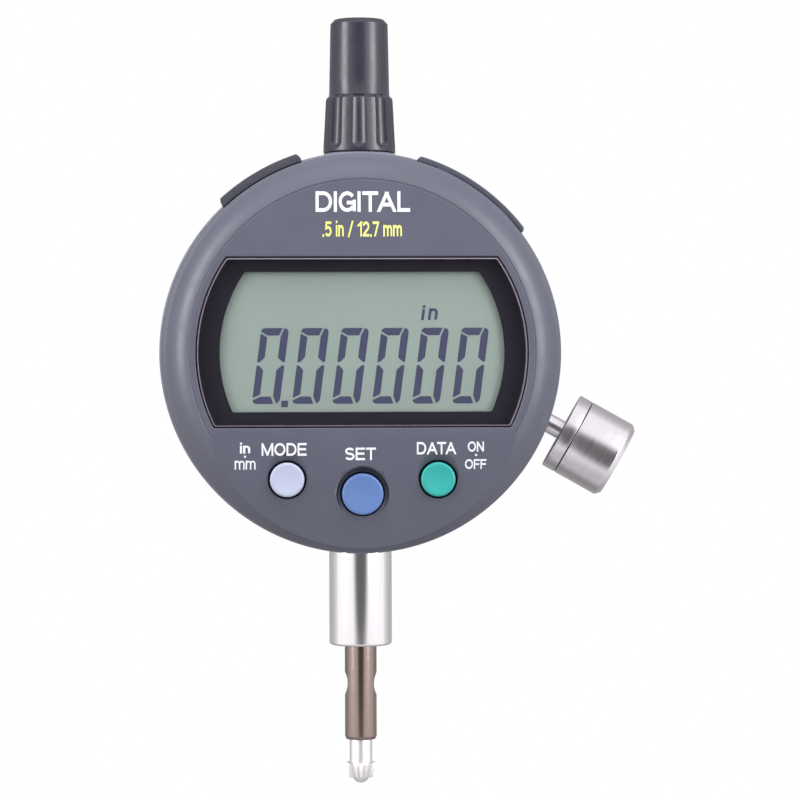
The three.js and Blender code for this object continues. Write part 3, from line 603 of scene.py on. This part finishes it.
def mark_face_creases(mesh):
    """Makes the shallow edges between the flat face, its rolled-back part and the rim crisp."""
    def zone(face):
        x, y, z = face.calc_center_median()
        if y > -13.5:
            return "inside"
        if abs(y - FRONT_Y) < 0.004 and face.normal.y < -0.9999:
            return "flat"
        if z < -10 and abs(y - face_y(x, z)) < 0.012 and abs(face.normal.y) > 0.9:
            return "roll"
        return "rim"

    shape = bmesh.new()
    shape.from_mesh(mesh)
    for edge in shape.edges:
        if len({zone(face) for face in edge.link_faces}) > 1:
            edge.smooth = False
    shape.to_mesh(mesh)
    shape.free()


def band_between(name, outer, inner, outer_front, inner_front, back):
    """A flat ring between two outlines of equally many points, with its own front depth at each."""
    rings = layers((outer, outer_front), (outer, back), (inner, back), (inner, inner_front))
    return loft(name, rings, closed=True)


def build_face():
    install_flat(front_cover(), body_plastic, "front_cover")
    lens, opening, view = banded_disc(WINDOW, corner=0.25), banded_disc(WINDOW), banded_disc(VIEW)
    clearance, chamfer = 0.2, 0.2
    front = FRONT_Y + 0.1
    pane = prism("window_pane", lens(-clearance - chamfer), front + 0.02, POCKET_Y)
    install(pane, "display_unit", lens_pane, "window_lens")
    edges = lens(-clearance), lens(-clearance - chamfer + 0.01)
    # the pane's bevel is an opaque band with a painted highlight, not clear plastic
    bevel = band_between("window_pane_edge", *edges, front + chamfer, front, POCKET_Y)
    install_flat(bevel, lens_edge_highlight)
    border = band_between("window_border", opening(0.8), view(0), -15.55, -15.55, -15.3)
    install_flat(border, border_ink, "window_mask")


# ---- the display
DIGIT_HEIGHT = 11.14
DIGIT_SLANT = tan(radians(7.45))
DIGIT_PITCH = 5.885
DIGIT_COUNT = 6
DIGIT_TOP_LEFT = (-14.78, 3.68)
DECIMAL_POINT = [(-11.95, -7.94), (-10.95, -7.94), (-10.88, -6.97), (-11.88, -6.97)]
LCD_Y = -14.9  # the front of the digits
INK = 0.02  # their thickness


def zero_segments():
    """The six lit segments of a nought, as outlines from its lower left corner, before the slant."""
    top, middle = DIGIT_HEIGHT, 5.89
    above, below = middle + 0.25, middle - 0.25
    return [
        [(0, top - 0.52), (0.08, top - 0.25), (0.3, top - 0.06), (0.55, top), (3.12, top)]
        + [(2.72, top - 1.1), (1.06, top - 1.1)],
        [(3.4, top - 0.02), (3.72, top - 0.1), (3.98, top - 0.35), (4.07, top - 0.75), (4.07, above)]
        + [(3.78, above), (2.98, middle + 0.9), (2.98, top - 1.25)],
        [(0, top - 0.82), (1.04, top - 1.34), (1.04, middle + 0.95), (0.42, above), (0, above)],
        [(0, below), (0.35, below), (1.04, middle - 0.95), (1.04, 1.4), (0, 0.88)],
        [(0.02, 0.52), (1.14, 1.08), (2.62, 1.08), (3.15, 0), (0.6, 0), (0.22, 0.14)],
        [(4.07, below), (4.07, 0.85), (3.97, 0.42), (3.75, 0.16), (3.52, 0.1), (2.98, 1.18)]
        + [(2.98, middle - 0.95), (3.65, below)],
    ]


def build_digit(number):
    """One nought: the thin prisms of its segments, in one mesh."""
    left, top = DIGIT_TOP_LEFT
    left += number * DIGIT_PITCH - DIGIT_SLANT * DIGIT_HEIGHT
    base = top - DIGIT_HEIGHT
    vertices, faces = [], []
    for outline in zero_segments():
        slanted = [(left + x + z * DIGIT_SLANT, base + z) for x, z in outline]
        rings = layers((slanted, LCD_Y), (slanted, LCD_Y + INK))
        faces += skin(rings, first=len(vertices))
        vertices += rings[0] + rings[1]
    return mesh_object(f"digit_{number + 1}", vertices, faces)


def build_display():
    x, low, high, corner = 21.4, -10.4, 12.6, 3.3
    edge = [(-x + corner, low), (x - corner, low), (x, low + corner), (x, high - corner)]
    edge += [(x - corner, high), (-x + corner, high), (-x, high - corner), (-x, low + corner)]
    panel = prism("display_panel", edge, LCD_Y + 0.03, HOLDER_Y)
    install_flat(panel, lcd_film, "lcd_front_glass")
    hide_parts("lcd_rear_glass")
    for number in range(DIGIT_COUNT):
        install_flat(build_digit(number), segment_dark)
    point = prism("decimal_point", DECIMAL_POINT, LCD_Y, LCD_Y + INK)
    install_flat(point, segment_dark)


# ---- lettering
PRINT = 0.03  # the thickness of a printed stroke, in millimetres
LETTER_GAP = 0.1  # in cap heights
KERNING = 0.12  # how much closer an A and a T stand


def glyphs():
    """Plain capitals, small letters and figures: each a width, and strokes in a box of 1 by 1. A stroke
    whose ends meet is a loop."""
    x_height, shoulder = 0.72, 0.26

    def arch(start, end):
        bow = arc((start + end) / 2, x_height - shoulder, (end - start) / 2, shoulder, 165, 0, 10)
        return [(start, 0.4), *bow, (end, -0.08)]

    left, right = [(0, 0), (0, 1)], [(1, 0), (1, 1)]
    top, base = [(0, 1), (1, 1)], [(0, 0), (1, 0)]
    short = [(0, 0), (0, x_height)]
    return {
        "A": (0.86, [[(0, 0), (0.485, 0.97)], [(1, 0), (0.515, 0.97)], [(0.2, 0.32), (0.8, 0.32)]]),
        "D": (0.78, [left + arc(0.45, 0.5, 0.55, 0.5, 90, -90) + [(0, 0)]]),
        "E": (0.68, [left, top, [(0, 0.52), (0.92, 0.52)], base]),
        "F": (0.6, [left, top, [(0, 0.5), (0.88, 0.5)]]),
        "G": (0.82, [
            arc(0.5, 0.5, 0.5, 0.5, 38, 325, 22), [(0.58, 0.44), (1, 0.44)], [(1, 0.5), (1, 0.04)],
        ]),
        "I": (0.0, [left]),
        "L": (0.56, [left, base]),
        "M": (0.94, [left, right, [(0.04, 0.97), (0.49, 0.03)], [(0.96, 0.97), (0.51, 0.03)]]),
        "N": (0.72, [left, right, [(0.1, 0.94), (0.9, 0.06)]]),
        "O": (0.88, [arc(0.5, 0.5, 0.5, 0.5, 0, 360, 32)]),
        "S": (0.72, [arc(0.5, 0.755, 0.46, 0.245, 22, 270) + arc(0.5, 0.255, 0.5, 0.255, 90, -158)[1:]]),
        "T": (0.74, [top, [(0.5, 1), (0.5, 0)]]),
        "i": (0.0, [short, [(0, 1.07), (0, 1.08)]]),
        "n": (0.42, [short, arch(0, 1)]),
        "m": (0.8, [short, arch(0, 0.5), arch(0.5, 1)]),
        "1": (0.3, [right, [(0.9, 0.96), (0.3, 0.82)]]),
        "2": (0.55, [arc(0.5, 0.71, 0.5, 0.29, 170, -35) + [(0, 0.02)], base]),
        "5": (0.55, [
            [(0.95, 1), (0.14, 1)], [(0.14, 1), (0.055, 0.54)], arc(0.46, 0.32, 0.54, 0.32, 140, -150),
        ]),
        "7": (0.52, [top, [(1, 1), (0.35, 0)]]),
        ".": (0.0, [[(0, -0.03), (0, -0.02)]]),
        "/": (0.4, [[(0, -0.06), (1, 1.06)]]),
        " ": (0.1, []),
    }


def ribbon(points, weight, loop):
    """The two edges of a stroke. A straight one runs on by half its weight, and ends level if it slants."""
    half = weight / 2
    if len(points) == 2:
        (x0, z0), (x1, z1) = points
        if z0 == z1:
            x0, x1 = min(x0, x1) - half, max(x0, x1) + half
            return [(x0, z0 + half), (x1, z0 + half)], [(x0, z0 - half), (x1, z0 - half)]
        across = half * hypot(x1 - x0, z1 - z0) / abs(z1 - z0)
        rise = copysign(half, z1 - z0)
        run = rise * (x1 - x0) / (z1 - z0)
        (x0, z0), (x1, z1) = (x0 - run, z0 - rise), (x1 + run, z1 + rise)
        return [(x0 - across, z0), (x1 - across, z1)], [(x0 + across, z0), (x1 + across, z1)]
    path = [Vector(p) for p in (points[:-1] if loop else points)]
    left, right = [], []
    for i, here in enumerate(path):
        before = here - path[i - 1] if loop or i else None
        after = path[(i + 1) % len(path)] - here if loop or i < len(path) - 1 else None
        steps = [step.normalized() for step in (before, after) if step is not None]
        along = sum(steps, Vector((0, 0))).normalized()
        reach = half / max(0.5, along.dot(steps[0]))
        side = Vector((-along.y, along.x)) * reach
        left.append(tuple(here + side))
        right.append(tuple(here - side))
    return left, right


def stroke_solid(points, weight, height):
    """One stroke as a thin bar, with points and weight in cap heights."""
    loop = dist(points[0], points[-1]) < TINY
    rings = []
    for (xa, za), (xb, zb) in zip(*ribbon(points, weight, loop)):
        rings.append([(xa, 0, za), (xa, PRINT, za), (xb, PRINT, zb), (xb, 0, zb)])
    return moved(loft("stroke", rings, closed=loop), Matrix.Diagonal((height, 1, height, 1)))


def lettering(name, text, place, height, width, weight, ink, slot, surface, slant=0.0):
    """Printed words of a cap height and width, with their baseline's middle at a place. surface(x, z) is
    the depth of what they are printed on."""
    shapes = glyphs()
    pen, strokes = 0.0, []
    for before, letter in zip(" " + text, text):
        letter_width, paths = shapes[letter]
        pen -= KERNING if before + letter in ("AT", "TA") else 0.0
        for path in paths:
            fitted = [(pen + x * letter_width, weight / 2 + z * (1 - weight)) for x, z in path]
            strokes.append(stroke_solid(fitted, weight, height))
        pen += letter_width + weight + LETTER_GAP
    word = fuse(*strokes)
    word.name = name
    xs = [v.co.x for v in word.data.vertices]
    middle, stretch = (min(xs) + max(xs)) / 2, width / (max(xs) - min(xs))
    for v in word.data.vertices:
        x = place[0] + (v.co.x - middle) * stretch + v.co.z * slant
        z = place[1] + v.co.z
        v.co = (x, surface(x, z) + v.co.y, z)
    install_flat(word, ink)


def build_lettering():
    on_face = lambda x, z: face_y(x, z) - PRINT / 2
    white = (white_ink, "white_print", on_face)
    yellow = (yellow_ink, "yellow_print", on_face)
    dark = (segment_dark, "lcd_glass", lambda x, z: LCD_Y, DIGIT_SLANT)
    labels = [
        (white, "label_mode", "MODE", (-11.52, -15.0), 1.86, 6.6, 0.17),
        (white, "label_set", "SET", (-0.33, -15.68), 1.84, 4.5, 0.17),
        (white, "label_data", "DATA", (10.82, -14.88), 1.83, 5.8, 0.17),
        (white, "label_in", "in", (-17.2, -14.65), 1.5, 1.5, 0.18),
        (white, "label_dot_left", ".", (-17.2, -15.22), 1.5, 0.3, 0.18),
        (white, "label_mm", "mm", (-17.2, -17.0), 1.72, 3.05, 0.13),
        (white, "label_on", "ON", (16.58, -14.5), 1.5, 2.4, 0.18),
        (white, "label_dot_right", ".", (16.6, -15.1), 1.5, 0.3, 0.18),
        (white, "label_off", "OFF", (16.55, -17.05), 1.45, 3.15, 0.18),
        (white, "label_type", "DIGITAL", (0.1, 20.6), 3.0, 13.8, 0.18),
        (yellow, "label_range", ".5 in / 12.7 mm", (0, 17.0), 2.2, 11.6, 0.17),
        (dark, "unit_i", "i", (8.87, 4.82), 2.05, 0.42, 0.2),
        (dark, "unit_n", "n", (10.33, 4.82), 2.25, 1.36, 0.18),
    ]
    for look, *label in labels:
        lettering(*label, *look)


# ---- buttons
def build_button(name, finish):
    """A button with a shallow dish in its face, and a flange behind the cover."""
    button = BUTTONS[name]
    radius, x, z = button["radius"], button["x"], button["z"]
    top = face_y(x, z) - button["proud"]
    dish, dish_radius, steps = 0.18, radius - 0.45, 8
    face = [dish_radius * k / steps for k in range(steps + 1)]
    corners = [(r, top + dish * (1 - (r / dish_radius) ** 2)) for r in face]
    corners += [(radius, top, 0.3), (radius, HOLDER_Y), (radius + 0.7, HOLDER_Y)]
    corners += [(radius + 0.7, HOLDER_Y + 0.3), (0, HOLDER_Y + 0.3)]
    cap = shifted(lathe(f"{name}_button_cap", corners, "y"), x, 0, z)
    install(cap, f"{name}_key", finish, f"{name}_button")


# ---- spindle cap
# the grip's, shoulder's and slimmer part's heights and radii
CAP_STATIONS = [(30.4, 5.42), (30.55, 5.49), (38.3, 5.09), (38.6, 5.02), (38.8, 4.86), (38.95, 4.66)]
CAP_STATIONS += [(39.1, 4.58), (49.85, 4.36), (49.95, 4.33), (50.38, 3.93), (50.53, 3.82), (50.58, 3.7)]
FLUTES = {"count": 9, "turn": 2.0, "width": 1.0, "depth": 0.52, "bottom": 31.95, "top": 39.0}
FLUTE_FULLNESS = 0.85  # a lower power makes a flute fuller towards its edges
GRIP_RADIUS = 5.2
FLUTE_MIN_RADIUS = 4.45


def cap_radius(z):
    for (z0, r0), (z1, r1) in zip(CAP_STATIONS, CAP_STATIONS[1:]):
        if z <= z1:
            return r0 + (r1 - r0) * max(0, z - z0) / (z1 - z0)


def fluted_radius(angle, z):
    """The cap's radius less its flutes, which are straight and have round lower ends. The first is a little
    to the camera's left."""
    pitch = 2 * pi / FLUTES["count"]
    turned = angle + pi / 2 + radians(FLUTES["turn"])
    off = ((turned + pitch / 2) % pitch - pitch / 2) * GRIP_RADIUS
    beyond = hypot(off, max(0.0, FLUTES["bottom"] - z)) / FLUTES["width"]
    if z > FLUTES["top"] or beyond >= 1:
        return cap_radius(z)
    depth = FLUTES["depth"] * (1 - beyond**2) ** FLUTE_FULLNESS
    return max(cap_radius(z) - depth, FLUTE_MIN_RADIUS)


def build_cap():
    steps = 720
    heights = [z for z, _ in CAP_STATIONS] + [30.55 + 0.07 * k for k in range(1, 24)]
    heights += [30.47, 33, 35, 37, 38.45, 38.7, 38.88, 39.02, 42, 46, 49.7, 49.9, 50.46]
    turns = [2 * pi * k / steps for k in range(steps)]
    rings = []
    for z in sorted(heights):
        radii = [fluted_radius(a, z) for a in turns]
        rings.append([(radius * cos(a), radius * sin(a), z) for radius, a in zip(radii, turns)])
    inside = [(TINY, 50.58), (TINY, 49.2), (3.1, 49.2), (3.1, 37.0), (3.75, 36.5), (3.75, 30.5)]
    inside.append((3.9, 30.4))
    rings += [[(radius * cos(a), radius * sin(a), z) for a in turns] for radius, z in inside]
    cap = loft("spindle_top_cap", rings, closed=True)
    install(cap, "cap", cap_plastic, "spindle_cap")


# ---- stem, spindle and contact point
def build_stem():
    bore, radius, neck, bush_bore = 3.48, 4.7625, 4.0, 2.5
    low, shoulder, high = -44.4, -29.75, -22.6
    corners = [(bore, low, 0.1), (radius, low, 0.4), (radius, shoulder), (neck, shoulder), (neck, high)]
    corners += [(2.9, high), (2.9, -37.9), (bore, -37.9)]
    stem = lathe("stem_tube", corners, steps=ROUND, closed=True)
    install(stem, "case", bright_steel, "stem")
    corners = [(bush_bore, low + 0.2, 0.2), (3.4, low + 0.2, 0.15), (3.4, -38), (bush_bore, -38)]
    install(lathe("stem_bushing", corners, closed=True), "case", brass, "stem_bush")


def build_spindle():
    radius, low, high = 2.43, -58.8, 35.5
    notch_radius, depth, notch_z = 3.8, 0.45, -50.4
    corners = [(0, low), (radius - 0.18, low), (radius, low + 0.4, 0.1), (radius, high, 0.4), (0, high)]
    rod = lathe("spindle_rod", corners)
    notches = []
    for side in (-1, 1):
        notch = cylinder("notch", notch_radius, -5, 5, "y", ROUND)
        notches.append(shifted(notch, side * (radius - depth + notch_radius), 0, notch_z))
    install(carve(rod, *notches), "spindle_unit", spindle_steel, "spindle")
    inner, outer, front, back = 1.75, 2.26, low - 0.04, low - 0.002
    corners = [(inner, front), (outer, front, 0.05), (outer, back), (inner, back)]
    seal = lathe("spindle_end_seal", corners, closed=True)
    install(seal, "spindle_unit", black_plastic)


def toothed(name, stations, teeth, across=8):
    """A body round Z from (radius, height, groove depth) stations, with V-shaped grooves down its side."""
    steps = teeth * across
    rings = []
    for radius, z, depth in stations:
        ring = []
        for k in range(steps):
            r = radius - depth * abs((k % across) / (across / 2) - 1)
            turn = 2 * pi * k / steps
            ring.append((r * cos(turn), r * sin(turn), z))
        rings.append(ring)
    return loft(name, rings)


def build_contact():
    tip, radius, teeth = -65.6, 1.3, 14
    stations = [(1.2, -54.5, 0), (1.2, -58.85, 0), (1.64, -58.85, 0), (1.72, -58.93, 0), (1.72, -62.35, 0)]
    stations += [(1.78, -62.4, 0.02), (2.35, -62.5, 0.36), (2.38, -62.62, 0.4), (1.87, -64.65, 0.3)]
    stations += [(1.7, -64.73, 0.2), (1.0, -64.73, 0)]
    point = toothed("contact_body", stations, teeth)
    install(point, "spindle_unit", point_steel, "contact_point")
    ball = lathe("contact_tip_ball", arc(0, tip + radius, radius, radius, -90, 90, 24), steps=64)
    install(ball, "spindle_unit", point_steel, "contact_ball")


# ---- lifting lever
def build_lever_arm():
    """A round shaft outside the case and a forked blade inside it, joined at the hub."""
    tip = -38.5
    arm = moved(lathe("lever_shaft", [(0, 0), (1.47, 0), (1.47, 14.2, 0.2), (0, 14.2)], "x"), LEAN)
    hub = lathe("hub", [(0, -2), (2.3, -2, 0.3), (2.3, 4.5, 0.3), (0, 4.5)], "y")
    outline = [(0, -2.2), (-24, -3.1), (tip, -3.1), (tip, 3.7), (-24, 3.7), (0, 2.2)]
    fuse(arm, hub, prism("blade", outline, 3.3, 4.5))
    fork = block("slot", tip - 1, -27.3, 3, 5, -1.3, 1.9)
    carve(arm, fork, cylinder("bore", 1.2, -3, 5, "y", 48))
    install(moved(arm, TO_LEVER), "lever", knob_steel, "lever_arm")


def build_knob():
    """The knob and the ring behind it, with a narrow groove between them that a black ring fills as painted
    shade.
    """
    bore, radius, groove_radius, clear = 1.52, 6.05, 5.92, 0.005
    inner, ring_end, start, outer = 6.54, 8.64, 8.8, 16.4

    def add(name, corners, finish, node=None, closed=True):
        piece = lathe(name, corners, "x", ROUND, closed)
        install(moved(piece, TO_LEVER @ LEAN), "lever", finish, node)

    corners = [(bore, inner), (radius, inner, 0.3), (radius, ring_end, 0.08), (bore, ring_end)]
    add("knob_flange", corners, knob_steel, "lever_knob_ring")
    corners = [(0, outer), (3.0, outer), (radius - 0.7, outer, 0.35), (radius, outer - 0.7, 0.35)]
    corners += [(radius, start, 0.08), (bore, start), (bore, outer - 1.9), (0, outer - 1.9)]
    add("knob_barrel", corners, knob_steel, "lever_knob", closed=False)
    # a black ring just below the surface fills the groove: painted shade
    low, high = ring_end + clear, start - clear
    corners = [(bore, low), (groove_radius, low), (groove_radius, high), (bore, high)]
    add("knob_groove_shade", corners, black_plastic)


# ---- covers on the display unit's side
def arc_cover(name, half_span, inner, outer, edge):
    """A curved cover that follows the body's side, with rounded edges and tapered ends."""
    front, back, steps = -13.4, -7.0, 40
    corners = [(inner, front, 0.05), (outer, front, edge), (outer, back, edge), (inner, back, 0.05)]
    section = rounded(corners, True)
    ends = [(-half_span, 0.35), (-half_span + 0.35, 0.72), (-half_span + 0.9, 1.0)]
    stations = ends + [(-half_span + 0.9 + (2 * half_span - 1.8) * k / steps, 1.0) for k in range(1, steps)]
    stations += [(-angle, share) for angle, share in reversed(ends)]
    rings = []
    for angle, share in stations:
        places = [(polar(inner + (radius - inner) * share, angle), y) for radius, y in section]
        rings.append([(x, y, z) for (x, z), y in places])
    return loft(name, rings)


def build_side_covers():
    cell_x, cell_z = polar(TRAY_CELL_AT, TRAY_ANGLE)
    tray = arc_cover("battery_drawer_cover", TRAY_HALF_SPAN, DISPLAY_R + 0.12, 30.3, 0.15)
    moved(tray, spin(TRAY_ANGLE))
    drawer = tray_shape("drawer", 0.0, -13.5, -8.0, 29.2)
    link = moved(block("link", 28.4, 29.6, -13.3, -8.0, -5.6, 5.6), spin(TRAY_ANGLE))
    fuse(tray, drawer, link)
    carve(tray, shifted(cylinder("room", 5.9, -15, -8.3, "y"), cell_x, 0, cell_z))
    # the drawer cover wears the darker copy of the body's plastic, as painted shade
    install(tray, "battery_drawer", shaded_body_plastic, "battery_tray")

    corners = [(0, -13.75), (4.5, -13.75, 0.2), (4.7, -13.35, 0.1), (5.8, -13.35, 0.25), (5.8, -8.35, 0.5)]
    cell = shifted(lathe("button_cell", corners + [(0, -8.35)], "y"), cell_x, 0, cell_z)
    install(cell, "battery_drawer", bright_steel, "battery_cell")

    cover = arc_cover("socket_cover", PORT_HALF_SPAN, DISPLAY_R + 0.18, 30.85, 0.2)
    fuse(cover, block("plug", 26.9, DISPLAY_R + 0.5, -9.75, -8.55, -5.2, 5.2))
    install(moved(cover, spin(PORT_ANGLE)), "port_cover", dark_rubber, "port_cap")


# ---- case and back
def build_case():
    corners = [(11, -7.95, 0.2), (13, -7.95, 0.3), (13, CASE_FRONT_Y, 0.2), (CASE_R, CASE_FRONT_Y, 0.35)]
    corners += [(CASE_R, CASE_BACK_Y, 1.2), (28.5, CASE_BACK_Y, 0.1), (28.5, 6.1), (27, 6.1), (27, -4.7)]
    corners += [(8, -4.7), (8, -6.0), (11, -6.0)]
    shell = lathe("case_shell", corners, "y", ROUND, closed=True)
    fuse(shell, lathe("seat", [(0, 26), (5.45, 26), (5.45, 30.3, 0.2), (0, 30.3)]))
    outline = rounded([(-2.3, -3.17, 0.8), (1.9, -3.17, 0.8), (1.9, 1.87, 0.8), (-2.3, 1.87, 0.8)], True)
    lever_slot = moved(loft("lever_slot", [[(x, y, z) for y, z in outline] for x in (-2, 6)]), TO_LEVER)
    pocket = moved(cylinder("pocket", 2.7, -4.6, 6.2, "y"), Matrix.Translation(LEVER_PIVOT))
    bush_hole = cylinder("bush_hole", 3.95, 23, 31)
    stem_hole = [(0, -31), (4.85, -31), (4.85, -29.65), (4.05, -29.65), (4.05, -21), (0, -21)]
    carve(shell, lever_slot, pocket, bush_hole, lathe("stem_hole", stem_hole))
    install(shell, "case", case_paint, "case_body")


def build_back():
    inset_y = CASE_BACK_Y - 0.25
    corners = [(0, BACK_PLATE_Y), (28.2, BACK_PLATE_Y, 0.1), (28.2, CASE_BACK_Y, 0.25)]
    corners += [(22.2, CASE_BACK_Y, 0.1), (21.9, inset_y, 0.1), (0, inset_y)]
    plate = lathe("rear_plate", corners, "y", ROUND)
    half, thick, hole_y = LUG["half_height"], LUG["half_thickness"], LUG["hole_y"]
    outline = [(CASE_BACK_Y - 1, -half), (CASE_BACK_Y - 1, half)] + arc(hole_y, 0, half, half, 90, -90, 48)
    lug = loft("lug", [[(x, y, z) for y, z in outline] for x in (-thick, thick)])
    low = BACK_PLATE_Y + 0.2
    pad = lathe("pad", [(0, low), (9.0, low), (9.0, CASE_BACK_Y, 0.15), (0, CASE_BACK_Y)], "y")
    fuse(plate, pad, lug)
    cutters = [shifted(cylinder("hole", LUG["hole_radius"], -4, 4, "x", 64), 0, hole_y, 0)]
    screws = [polar(SCREW_CIRCLE_R, angle) for angle in SCREW_ANGLES]
    seat = CASE_BACK_Y - 0.9
    for x, z in screws:
        well = [(0, 5), (1.5, 5), (1.5, seat), (2.5, seat), (2.5, 9), (0, 9)]
        cutters.append(shifted(lathe("well", well, "y", 48), x, 0, z))
    carve(plate, *cutters)
    install(bevel_edges(plate, 0.18, 50), "case", case_paint, "back_plate")
    for number, (x, z) in enumerate(screws, 1):
        install(shifted(back_screw(number), x, 0, z), "case", turned_steel, f"back_screw_{number}")


def back_screw(number):
    """A pan-head screw with a cross recess that tapers inwards. Each is turned further than the last."""
    under_head, twist = CASE_BACK_Y - 0.85, 20
    corners = [(0, 1), (1.15, 1, 0.2), (1.15, under_head), (2.3, under_head), (2.3, 8.0, 0.25)]
    screw = lathe(f"cover_screw_{number}", corners + [(1.4, 8.17, 0.3), (0, 8.19)], "y", 64)
    recess = []
    for turn in (0, 90):
        rings = []
        for y, x, z in ((7.45, 0.6, 0.144), (8.4, 1.35, 0.24)):
            rings.append([(-x, y, -z), (x, y, -z), (x, y, z), (-x, y, z)])
        recess.append(moved(loft("recess", rings), Matrix.Rotation(radians(turn + twist * number), 4, "Y")))
    return carve(screw, *recess)


# ---- return spring
def build_spring():
    """A coil spring, from its post in the case to the arm on the spindle's holder."""
    x, radius, wire, turns = 8.6, 1.5, 0.25, 14
    bottom, top = -17.2, -3.6
    steps, round_wire = turns * 24, 10
    path = []
    for k in range(steps + 1):
        angle = 2 * pi * turns * k / steps
        z = bottom + (top - bottom) * k / steps
        path.append(Vector((x + radius * cos(angle), radius * sin(angle), z)))
    rings = []
    angles = [2 * pi * i / round_wire for i in range(round_wire)]
    for k, point in enumerate(path):
        ahead = path[min(k + 1, steps)] - path[max(k - 1, 0)]
        out = Vector((point.x - x, point.y, 0)).normalized()
        side = ahead.normalized().cross(out)
        rings.append([point + wire * (out * cos(a) + side * sin(a)) for a in angles])
    spring = loft("pull_spring", rings)
    shade(spring)
    paint(moved(spring, TO_ROW), turned_steel)
    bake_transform(spring)
    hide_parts("return_spring")


# ---- CAD nodes that keep their shape
def finish_frame_nodes():
    looks = {
        black_plastic: "lcd_holder mode_switch set_switch data_switch data_socket processor_chip",
        dark_rubber: "contact_strip_lower contact_strip_upper back_gasket friction_ring rest_bumper",
        board_green: "main_board reading_head flex_cable linear_scale",
        body_plastic: "display_base",
        brass: "socket_pins cell_contact_front cell_contact_side",
        turned_steel: "upper_bush display_retainer guide_rail spring_post lever_pivot_pin scale_holder "
        "lift_pin stop_collar base_screw_1 base_screw_2 base_screw_3",
    }
    for finish, names in looks.items():
        for name in names.split():
            paint(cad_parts[name], finish)


# ---- studio
def tent_glow(tree, direction):
    """How a tent of white paper round the object glows: dark at the camera's opening, brightest beside it,
    grey behind the object, and weaker below it. The direction is a unit vector from the object."""
    split = wired(tree, "SeparateXYZ", Vector=direction)
    ramp = wired(tree, "ValToRGB", Fac=scaled(tree, split.outputs["Y"], -1, 1, 0, 1))
    stops = [(0.0, 0.12), (0.02, 0.14), (0.068, 1.0), (0.5, 1.0), (0.6, 0.7), (0.75, 0.5), (1.0, 0.4)]
    elements = ramp.color_ramp.elements
    for position, _ in stops[1:-1]:
        elements.new(position)
    for element, (_, level) in zip(elements, stops):
        element.color = (level, level, level, 1)
    low = scaled(tree, split.outputs["Z"], -0.8, -0.25, 0.6, 1.1)
    glow = wired(tree, "Math", ramp.outputs[0], low, operation="MULTIPLY").outputs[0]
    seen = wired(tree, "LightPath").outputs["Is Camera Ray"]
    return wired(tree, "Mix", Factor=seen, A=glow, B=1.0).outputs[0]


def paper():
    """Paper that glows like a lamp with the light of a tent of white paper round the object, and that the
    camera sees as white.
    """
    material = bpy.data.materials.new("paper")
    material.use_nodes = True
    tree = material.node_tree
    tree.nodes.remove(tree.nodes["Principled BSDF"])
    object_centre = (0, 0, (CENTRE_Z - 35) / 1000)  # of the whole object, which is below the round body's
    place = wired(tree, "NewGeometry").outputs["Position"]
    away = wired(tree, "VectorMath", place, object_centre, operation="SUBTRACT").outputs[0]
    unit = wired(tree, "VectorMath", away, operation="NORMALIZE").outputs[0]
    light = wired(tree, "Emission", Strength=tent_glow(tree, unit)).outputs[0]
    feed(tree.nodes["Material Output"], Surface=light)
    return material


def soft_box(name, azimuth, elevation, distance, width, height, power):
    """A rectangular lamp that faces the body's centre. Azimuth 0 is the camera's side, 90 the lever's."""
    lamp = bpy.data.lights.new(name, "AREA")
    lamp.shape = "RECTANGLE"
    lamp.size, lamp.size_y, lamp.energy = width, height, power
    obj = scene_object(name, lamp)
    a, e = radians(azimuth), radians(elevation)
    towards = Vector((sin(a) * cos(e), -cos(a) * cos(e), sin(e)))
    obj.location = Vector((0, 0, CENTRE_Z / 1000)) + towards * distance
    obj.rotation_euler = towards.to_track_quat("Z", "Y").to_euler()
    return obj


def studio_world():
    world = bpy.data.worlds.new("studio")
    bpy.context.scene.world = world
    world.use_nodes = True
    tree = world.node_tree
    direction = wired(tree, "TexCoord").outputs["Generated"]
    feed(tree.nodes["Background"], Color=(1, 1, 1, 1), Strength=tent_glow(tree, direction))


def build_studio():
    reach, floor_z = 4.0, cad_box[0][2] - 0.02  # in metres, like all sizes of the studio
    corners = [(-reach, -reach), (reach, -reach), (reach, reach), (-reach, reach)]
    floor = mesh_object("floor", [(x, y, floor_z) for x, y in corners], [(0, 1, 2, 3)])
    floor.data.materials.append(paper())
    soft_box("box_left", -61, 6, 0.6, 0.22, 0.75, 4.6)
    soft_box("box_right", 55, 6, 0.6, 0.22, 0.75, 4.6)
    soft_box("box_beside", 33, 4, 0.6, 0.14, 0.5, 0.4)
    soft_box("box_front", 0, 62, 0.22, 0.2, 0.1, 0.38).visible_glossy = False
    studio_world()


def build_camera():
    """At the height of the body's centre and slightly to its left, aimed a little right and low of it."""
    distance, azimuth = 0.42, radians(-1.3)
    aim = Vector((0.0061, 0, (CENTRE_Z - 7.19) / 1000))
    camera = bpy.data.cameras.new("camera")
    camera.lens = 124
    camera.sensor_width = 36
    camera.clip_start = 0.01
    obj = scene_object("camera", camera)
    obj.location = (distance * sin(azimuth), -distance * cos(azimuth), CENTRE_Z / 1000)
    roll = Quaternion((0, 0, 1), radians(-0.14))
    obj.rotation_euler = ((aim - obj.location).to_track_quat("-Z", "Y") @ roll).to_euler()
    bpy.context.scene.camera = obj


build_camera()
build_studio()
build_face()
build_display()
build_lettering()
build_button("mode", button_pale)
build_button("set", button_blue)
build_button("data", button_green)
build_cap()
build_stem()
build_spindle()
build_contact()
build_lever_arm()
build_knob()
build_side_covers()
build_case()
build_back()
build_spring()
finish_frame_nodes()
bpy.context.scene.view_settings.view_transform = "Standard"
